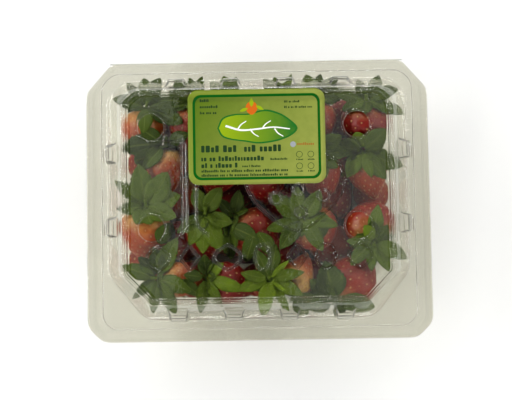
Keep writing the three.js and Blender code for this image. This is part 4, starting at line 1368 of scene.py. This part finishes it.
def seed_points():
    """Every seed's place, the way it faces and the way it points."""
    places, facings, pointings = [], [], []
    step = 0.01
    for number, berry in enumerate(BERRIES):
        spots = seed_places(berry, number)
        here = berry_surface(berry, spots[:, 0], spots[:, 1], number)
        beside = berry_surface(berry, spots[:, 0] + step, spots[:, 1], number) - here
        ahead = berry_surface(berry, spots[:, 0], spots[:, 1] + step, number) - here
        out = np.cross(beside, ahead)
        out /= np.linalg.norm(out, axis=1)[:, None]
        ahead /= np.linalg.norm(ahead, axis=1)[:, None]
        sunk = PIT_DEPTH * 0.72 if berry["at"][2] > UNDER_LAYER_TOP else 0.0
        spin = berry_turn(berry).T
        places.append(to_row(berry, here - out * sunk))
        facings.append(out @ spin)
        pointings.append(ahead @ spin)
    return np.vstack(places), np.vstack(facings), np.vstack(pointings)


def core_mesh():
    """The hidden middle of the heap, a low lumpy mound on the tray's base."""
    xs, ys = np.linspace(-50, 50, 51), np.linspace(-32, 36, 35)
    gx, gy = np.meshgrid(xs, ys)
    edge = np.minimum(50 - np.abs(gx), np.minimum(gy + 32, 36 - gy))
    lumps = 1.6 * np.sin(gx * 0.33 + 1) * np.cos(gy * 0.37) + 1.0 * np.sin(gx * 0.71 - gy * 0.53)
    top = 2.6 + (6.0 + lumps) * smoothstep(0, 7, edge)
    upper = np.column_stack([gx.ravel(), gy.ravel(), top.ravel()])
    lower = np.column_stack([gx.ravel(), gy.ravel(), np.full(gx.size, 2.4)])
    wide, deep = len(xs), len(ys)
    faces = []
    for j in range(deep - 1):
        for i in range(wide - 1):
            a = j * wide + i
            faces.append((a, a + 1, a + 1 + wide, a + wide))
            b = a + wide * deep
            faces.append((b, b + wide, b + 1 + wide, b + 1))
    rim = [i for i in range(wide)] + [j * wide + wide - 1 for j in range(1, deep)]
    rim += [(deep - 1) * wide + i for i in range(wide - 2, -1, -1)]
    rim += [j * wide for j in range(deep - 2, 0, -1)]
    for a, b in zip(rim, rim[1:] + rim[:1]):
        faces.append((a, a + wide * deep, b + wide * deep, b))
    return np.vstack([upper, lower]), faces


# ---- what a user may change ------------------------------------------------------------------


def colour_prop(name, description, default):
    return bpy.props.FloatVectorProperty(
        name=name, description=description, default=default, subtype="COLOR", min=0.0, max=1.0, size=3)


class PunnetPackSettings(bpy.types.PropertyGroup):
    film_thickness: bpy.props.FloatProperty(
        name="Film thickness", description="Thickness of the clear film",
        default=FILM * MM, min=0.1 * MM, max=1.0 * MM, precision=5, unit="LENGTH")
    film_tint: colour_prop("Film tint", "Colour the film gives to what is behind it", (0.83, 0.822, 0.757))
    film_shadow: colour_prop("Film shadow", "Light the film lets through behind it", (0.92, 0.92, 0.9))


class PunnetLabelSettings(bpy.types.PropertyGroup):
    rim: colour_prop("Rim", "The label's upper left edge", (0.167, 0.225, 0.018))
    border: colour_prop("Border", "The line round the label", (0, 0.0863, 0.00288))
    field_dark: colour_prop("Field, dark", "The field's upper left", (0.0798, 0.146, 0.00288))
    field_pale: colour_prop("Field, pale", "The field's lower right", (0.289, 0.323, 0.0648))
    leaf_lime: colour_prop("Leaf, left", "The printed leaf's left end", (0.274, 0.39, 0.0036))
    leaf_green: colour_prop("Leaf, right", "The printed leaf's right end", (0.0076, 0.128, 0.0144))
    ink: colour_prop("Ink", "Dark print", (0.012, 0.04, 0.01))
    berry: colour_prop("Berry", "The printed berry", (0.57, 0.12, 0.0072))
    white: colour_prop("White", "Unprinted paper", (0.86, 0.88, 0.82))


class PunnetFruitSettings(bpy.types.PropertyGroup):
    flesh_red: colour_prop("Red", "A ripe berry's skin", (0.116, 0.00132, 0.00062))
    flesh_orange: colour_prop("Orange", "A half-ripe berry's skin", (0.245, 0.0363, 0.00186))
    flesh_pale: colour_prop("Pale", "The shoulder of a berry", (0.313, 0.185, 0.0465))
    # Painted shade in the pits round the seeds: a dark red mixed into the skin there.
    pit_shade: colour_prop("Pits", "The skin round a seed", (0.0816, 0.00132, 0.00124))
    seed_pale: colour_prop("Seed, pale", "Pale seeds", (0.375, 0.24, 0.07))
    seed_brown: colour_prop("Seed, brown", "Browner seeds", (0.255, 0.0975, 0.021))
    leaf_dark: colour_prop("Leaf, dark", "The darkest leaves", (0.0102, 0.0211, 0.0018))
    leaf_bright: colour_prop("Leaf, bright", "The brightest leaves", (0.0816, 0.129, 0.0018))
    leaf_mottle: colour_prop("Leaf, patches", "Patches in every leaf", (0.0306, 0.0449, 0.0036))
    leaf_vein: colour_prop("Leaf, veins", "Midribs and veins", (0.0816, 0.106, 0.018))
    # The dark red of the heap's inside is painted shade, seen in the gaps between the berries.
    core_shade: colour_prop("Core", "The shaded inside of the heap", (0.0408, 0.00528, 0.00248))


class PunnetStageSettings(bpy.types.PropertyGroup):
    floor: colour_prop("Floor", "The floor's colour", (0.86, 0.86, 0.85))
    distance: bpy.props.FloatProperty(
        name="Camera distance", description="From the lens to the pack's flange", default=0.48, unit="LENGTH")
    elevation: bpy.props.FloatProperty(
        name="Elevation", description="How steeply the camera looks down",
        default=math.radians(86.3), subtype="ANGLE")
    roll: bpy.props.FloatProperty(
        name="Roll", description="How far the camera leans", default=math.radians(-1.0), subtype="ANGLE")
    surround: bpy.props.FloatProperty(
        name="Surround", description="Brightness round the sides", default=0.34, min=0.0)
    overhead: bpy.props.FloatProperty(
        name="Overhead", description="Brightness overhead", default=0.015, min=0.0)
    strip_power: bpy.props.FloatProperty(
        name="Strips", description="Power of the strip lights", default=42.0, unit="POWER")
    panel_power: bpy.props.FloatProperty(
        name="Panels", description="Power of each light panel mirrored in the lid", default=0.7, unit="POWER")


# ---- operators -------------------------------------------------------------------------------


class PUNNET_OT_tray(bpy.types.Operator):
    """Make the tray's film"""
    bl_idname = "punnet.tray"
    bl_label = "Tray"

    def execute(self, context):
        settings = context.scene.punnet_pack
        piece = new_piece("tray_film", *tray_mesh())
        finish_film(piece, settings.film_thickness)
        piece.data.materials.clear()
        piece.data.materials.append(bpy.data.materials.get("clear_film") or film_material(settings))
        place(piece, "tray", ["tray"])
        return {"FINISHED"}


class PUNNET_OT_lid(bpy.types.Operator):
    """Make the lid's film, with its vents and raised lines"""
    bl_idname = "punnet.lid"
    bl_label = "Lid"

    def execute(self, context):
        settings = context.scene.punnet_pack
        piece = new_piece("lid_film", *lid_mesh())
        finish_film(piece, settings.film_thickness)
        piece.data.materials.clear()
        piece.data.materials.append(bpy.data.materials.get("clear_film") or film_material(settings))
        place(piece, "lid", ["lid"])
        return {"FINISHED"}


class PUNNET_OT_hinge(bpy.types.Operator):
    """Make the folded strip that joins the lid to the tray"""
    bl_idname = "punnet.hinge"
    bl_label = "Hinge"

    def execute(self, context):
        settings = context.scene.punnet_pack
        piece = new_piece("hinge_film", *hinge_mesh())
        finish_film(piece, HINGE_FILM * MM)
        piece.data.materials.clear()
        piece.data.materials.append(bpy.data.materials.get("clear_film") or film_material(settings))
        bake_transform(piece)
        return {"FINISHED"}


class PUNNET_OT_label(bpy.types.Operator):
    """Make the printed label on the lid"""
    bl_idname = "punnet.label"
    bl_label = "Label"

    def execute(self, context):
        inks = context.scene.punnet_label
        cx, cy = LABEL_MIDDLE
        left, right = (cx - 33, cy + 20, 0), (cx + 33, cy - 20, 0)
        colours = {
            "label_rim": (inks.rim, inks.field_pale),
            "label_border": (inks.border, inks.border),
            "label_field": (inks.field_dark, inks.field_pale),
            "print_deep": (inks.leaf_green, inks.leaf_green),
            "print_leaf": (inks.leaf_lime, inks.leaf_green),
            "print_white": (inks.white, inks.white),
            "print_berry": (inks.berry, inks.berry),
            "print_lime": (inks.leaf_lime, inks.leaf_lime),
            "print_dark": (inks.ink, inks.ink),
            "print_brown": ((0.3, 0.13, 0.02), (0.3, 0.13, 0.02)),
            "print_grey": ((0.3, 0.32, 0.34), (0.3, 0.32, 0.34)),
        }
        vertices, faces, names = label_mesh()
        piece = new_piece("label_print", vertices, faces)
        order = list(colours)
        for name in order:
            low, high = ((-19, cy, 0), (19, cy, 0)) if name == "print_leaf" else (left, right)
            piece.data.materials.append(print_material(name, colours[name], low, high))
        piece.data.polygons.foreach_set("material_index", [order.index(name) for name in names])
        paper = piece.modifiers.new("paper", "SOLIDIFY")
        paper.thickness = 0.09 * MM
        paper.offset = -1
        plain_mesh(piece)
        place(piece, "lid", ["label"])
        return {"FINISHED"}


class PUNNET_OT_berries(bpy.types.Operator):
    """Make the berries' skins and the hidden core under them"""
    bl_idname = "punnet.berries"
    bl_label = "Berries"

    def execute(self, context):
        settings = context.scene.punnet_fruit
        skin = flesh_material(settings)
        layers = {"berries_upper": [], "berries_lower": []}
        for number, berry in enumerate(BERRIES):
            upper = berry["at"][2] > UNDER_LAYER_TOP
            layer = layers["berries_upper" if upper else "berries_lower"]
            layer.append((*berry_grid(berry, number, upper), berry["ripe"]))
        for name, parts in layers.items():
            piece = joined_piece(name, parts, ("along", "pit", "ripe"))
            piece.data.materials.append(skin)
            place(piece, "tray", ["berries"] if name == "berries_upper" else [])
        # The core is a dark mound whose colour is painted shade in the gaps between the berries.
        core = new_piece("heap_core", *core_mesh())
        core.data.materials.append(core_material(settings))
        place(core, "tray", [])
        return {"FINISHED"}


class PUNNET_OT_seeds(bpy.types.Operator):
    """Set the seeds in the berries' skins"""
    bl_idname = "punnet.seeds"
    bl_label = "Seeds"

    def execute(self, context):
        places, facings, pointings = seed_points()
        piece = new_piece("berry_seeds", places, [])
        give_vectors(piece, "facing", facings)
        give_vectors(piece, "pointing", pointings)
        tree = seed_tree(seed_material(context.scene.punnet_fruit))
        modifier = piece.modifiers.new("seeds", "NODES")
        modifier.node_group = tree
        for item in tree.interface.items_tree:
            if item.in_out == "INPUT" and item.name in SEED_SIZE:
                modifier[item.identifier] = SEED_SIZE[item.name] * MM
        plain_mesh(piece)
        if len(piece.data.polygons) < len(places):
            raise RuntimeError("the seeds were not made")
        place(piece, "tray", [])
        return {"FINISHED"}


class PUNNET_OT_leaves(bpy.types.Operator):
    """Make the berries' leaves and stalks"""
    bl_idname = "punnet.leaves"
    bl_label = "Leaves"

    def execute(self, context):
        green = leaf_material(context.scene.punnet_fruit)
        leaves = joined_piece("berry_leaves", leaf_parts(), ("along", "across", "tone"))
        leaves.data.materials.append(green)
        blade = leaves.modifiers.new("blade", "SOLIDIFY")
        blade.thickness = 0.22 * MM
        blade.offset = 0
        plain_mesh(leaves)
        place(leaves, "tray", [])
        stems = []
        for number, berry in enumerate(BERRIES):
            points, faces = stem_part(berry, number)
            stems.append((points, faces, 0.5, 1.0, 0.55))
        stalks = joined_piece("berry_stalks", stems, ("along", "across", "tone"))
        stalks.data.materials.append(green)
        place(stalks, "tray", [])
        return {"FINISHED"}


FLOOR_HALF = 3000.0

# Lights, in metres: strips low round the pack with their share of the power, and dim panels over it.
STRIP_SIZE = (1.6, 0.1)
STRIPS = (
    ("left", (-1.2, 0.1, 0.8), 0.36), ("back", (0.0, 1.2, 0.8), 0.28),
    ("right", (1.2, 0.1, 0.8), 0.2), ("front", (0.0, -1.2, 0.8), 0.16),
)
PANELS = (("over_left", (-0.35, 0.15, 1.0), (0.46, 1.0)), ("over_right", (0.29, 0.15, 1.0), (0.48, 1.0)))


class PUNNET_OT_stage(bpy.types.Operator):
    """Make the floor, the lights and the camera"""
    bl_idname = "punnet.stage"
    bl_label = "Stage"

    def execute(self, context):
        settings = context.scene.punnet_stage
        ends = (-FLOOR_HALF, FLOOR_HALF)
        corners_of_floor = [(x, y, 0) for y in ends for x in ends]
        floor = new_piece("floor", corners_of_floor, [(0, 1, 3, 2)])
        material, shader, principled, _ = new_material("floor_paper")
        mottle, _ = wear(shader, 8.0)
        pale = rgba(settings.floor)
        shader.feed(principled, "Base Color", shader.mix(mottle, pale, [c * 0.985 for c in pale[:3]]))
        principled.inputs["Roughness"].default_value = 0.9
        principled.inputs["Specular IOR Level"].default_value = 0.1
        floor.data.materials.append(material)
        context.scene.view_settings.view_transform = "Standard"
        self.add_surround(context, settings)
        for name, at, share in STRIPS:
            turn = (-Vector(at)).to_track_quat("-Z", "Y").to_euler()
            self.add_lamp(context, name, at, STRIP_SIZE, settings.strip_power * share, turn)
        for name, at, size in PANELS:
            self.add_lamp(context, name, at, size, settings.panel_power, (0, 0, 0))
        self.add_camera(context, settings)
        return {"FINISHED"}

    def add_surround(self, context, settings):
        """A room that is bright round the sides and dim overhead."""
        world = bpy.data.worlds.new("studio")
        world.use_nodes = True
        shader = Shader(world.node_tree)
        coords = shader.node("ShaderNodeTexCoord")
        parts = shader.node("ShaderNodeSeparateXYZ", values={"Vector": coords.outputs["Generated"]})
        strength = shader.ranged(parts.outputs["Z"], 0.7, 0.95, settings.surround, settings.overhead)
        background = world.node_tree.nodes["Background"]
        background.inputs["Color"].default_value = (0.97, 0.98, 1.0, 1.0)
        world.node_tree.links.new(strength, background.inputs["Strength"])
        context.scene.world = world

    def add_lamp(self, context, name, at, size, power, turn):
        lamp = bpy.data.lights.new(name, "AREA")
        lamp.shape = "RECTANGLE"
        lamp.size, lamp.size_y = size
        lamp.energy = power
        holder = bpy.data.objects.new(name, lamp)
        holder.location = at
        holder.rotation_euler = turn
        context.scene.collection.objects.link(holder)

    def add_camera(self, context, settings):
        camera = bpy.data.cameras.new("camera")
        camera.sensor_width = 36.0
        view_width = 257.6 * MM
        camera.lens = camera.sensor_width * settings.distance / view_width
        camera.clip_start = 0.01
        holder = bpy.data.objects.new("camera", camera)
        target = Vector((-1.2 * MM, -0.1 * MM, SPLIT * MM))
        away = Vector((0, -math.cos(settings.elevation), math.sin(settings.elevation)))
        holder.location = target + away * settings.distance
        facing = (-away).to_track_quat("-Z", "Y").to_matrix()
        holder.rotation_euler = (facing @ Matrix.Rotation(settings.roll, 3, "Z")).to_euler()
        context.scene.collection.objects.link(holder)
        context.scene.camera = holder


class PUNNET_PT_panel(bpy.types.Panel):
    """The pieces, in the order they are made"""
    bl_idname = "PUNNET_PT_panel"
    bl_label = "Punnet"
    bl_space_type = "VIEW_3D"
    bl_region_type = "UI"
    bl_category = "Punnet"

    def draw(self, context):
        for operator in OPERATORS:
            self.layout.operator(operator.bl_idname)


SETTINGS = {
    "punnet_pack": PunnetPackSettings,
    "punnet_label": PunnetLabelSettings,
    "punnet_fruit": PunnetFruitSettings,
    "punnet_stage": PunnetStageSettings,
}
OPERATORS = (
    PUNNET_OT_stage, PUNNET_OT_tray, PUNNET_OT_lid, PUNNET_OT_hinge, PUNNET_OT_label,
    PUNNET_OT_berries, PUNNET_OT_seeds, PUNNET_OT_leaves,
)


def register():
    for made in (*SETTINGS.values(), *OPERATORS, PUNNET_PT_panel):
        bpy.utils.register_class(made)
    for name, group in SETTINGS.items():
        setattr(bpy.types.Scene, name, bpy.props.PointerProperty(type=group))


def unregister():
    for name in SETTINGS:
        delattr(bpy.types.Scene, name)
    for made in reversed((*SETTINGS.values(), *OPERATORS, PUNNET_PT_panel)):
        bpy.utils.unregister_class(made)


def main():
    register()
    bpy.ops.punnet.stage()
    bpy.ops.punnet.tray()
    bpy.ops.punnet.lid()
    bpy.ops.punnet.hinge()
    bpy.ops.punnet.label()
    bpy.ops.punnet.berries()
    bpy.ops.punnet.seeds()
    bpy.ops.punnet.leaves()


if __name__ == "__main__":
    main()
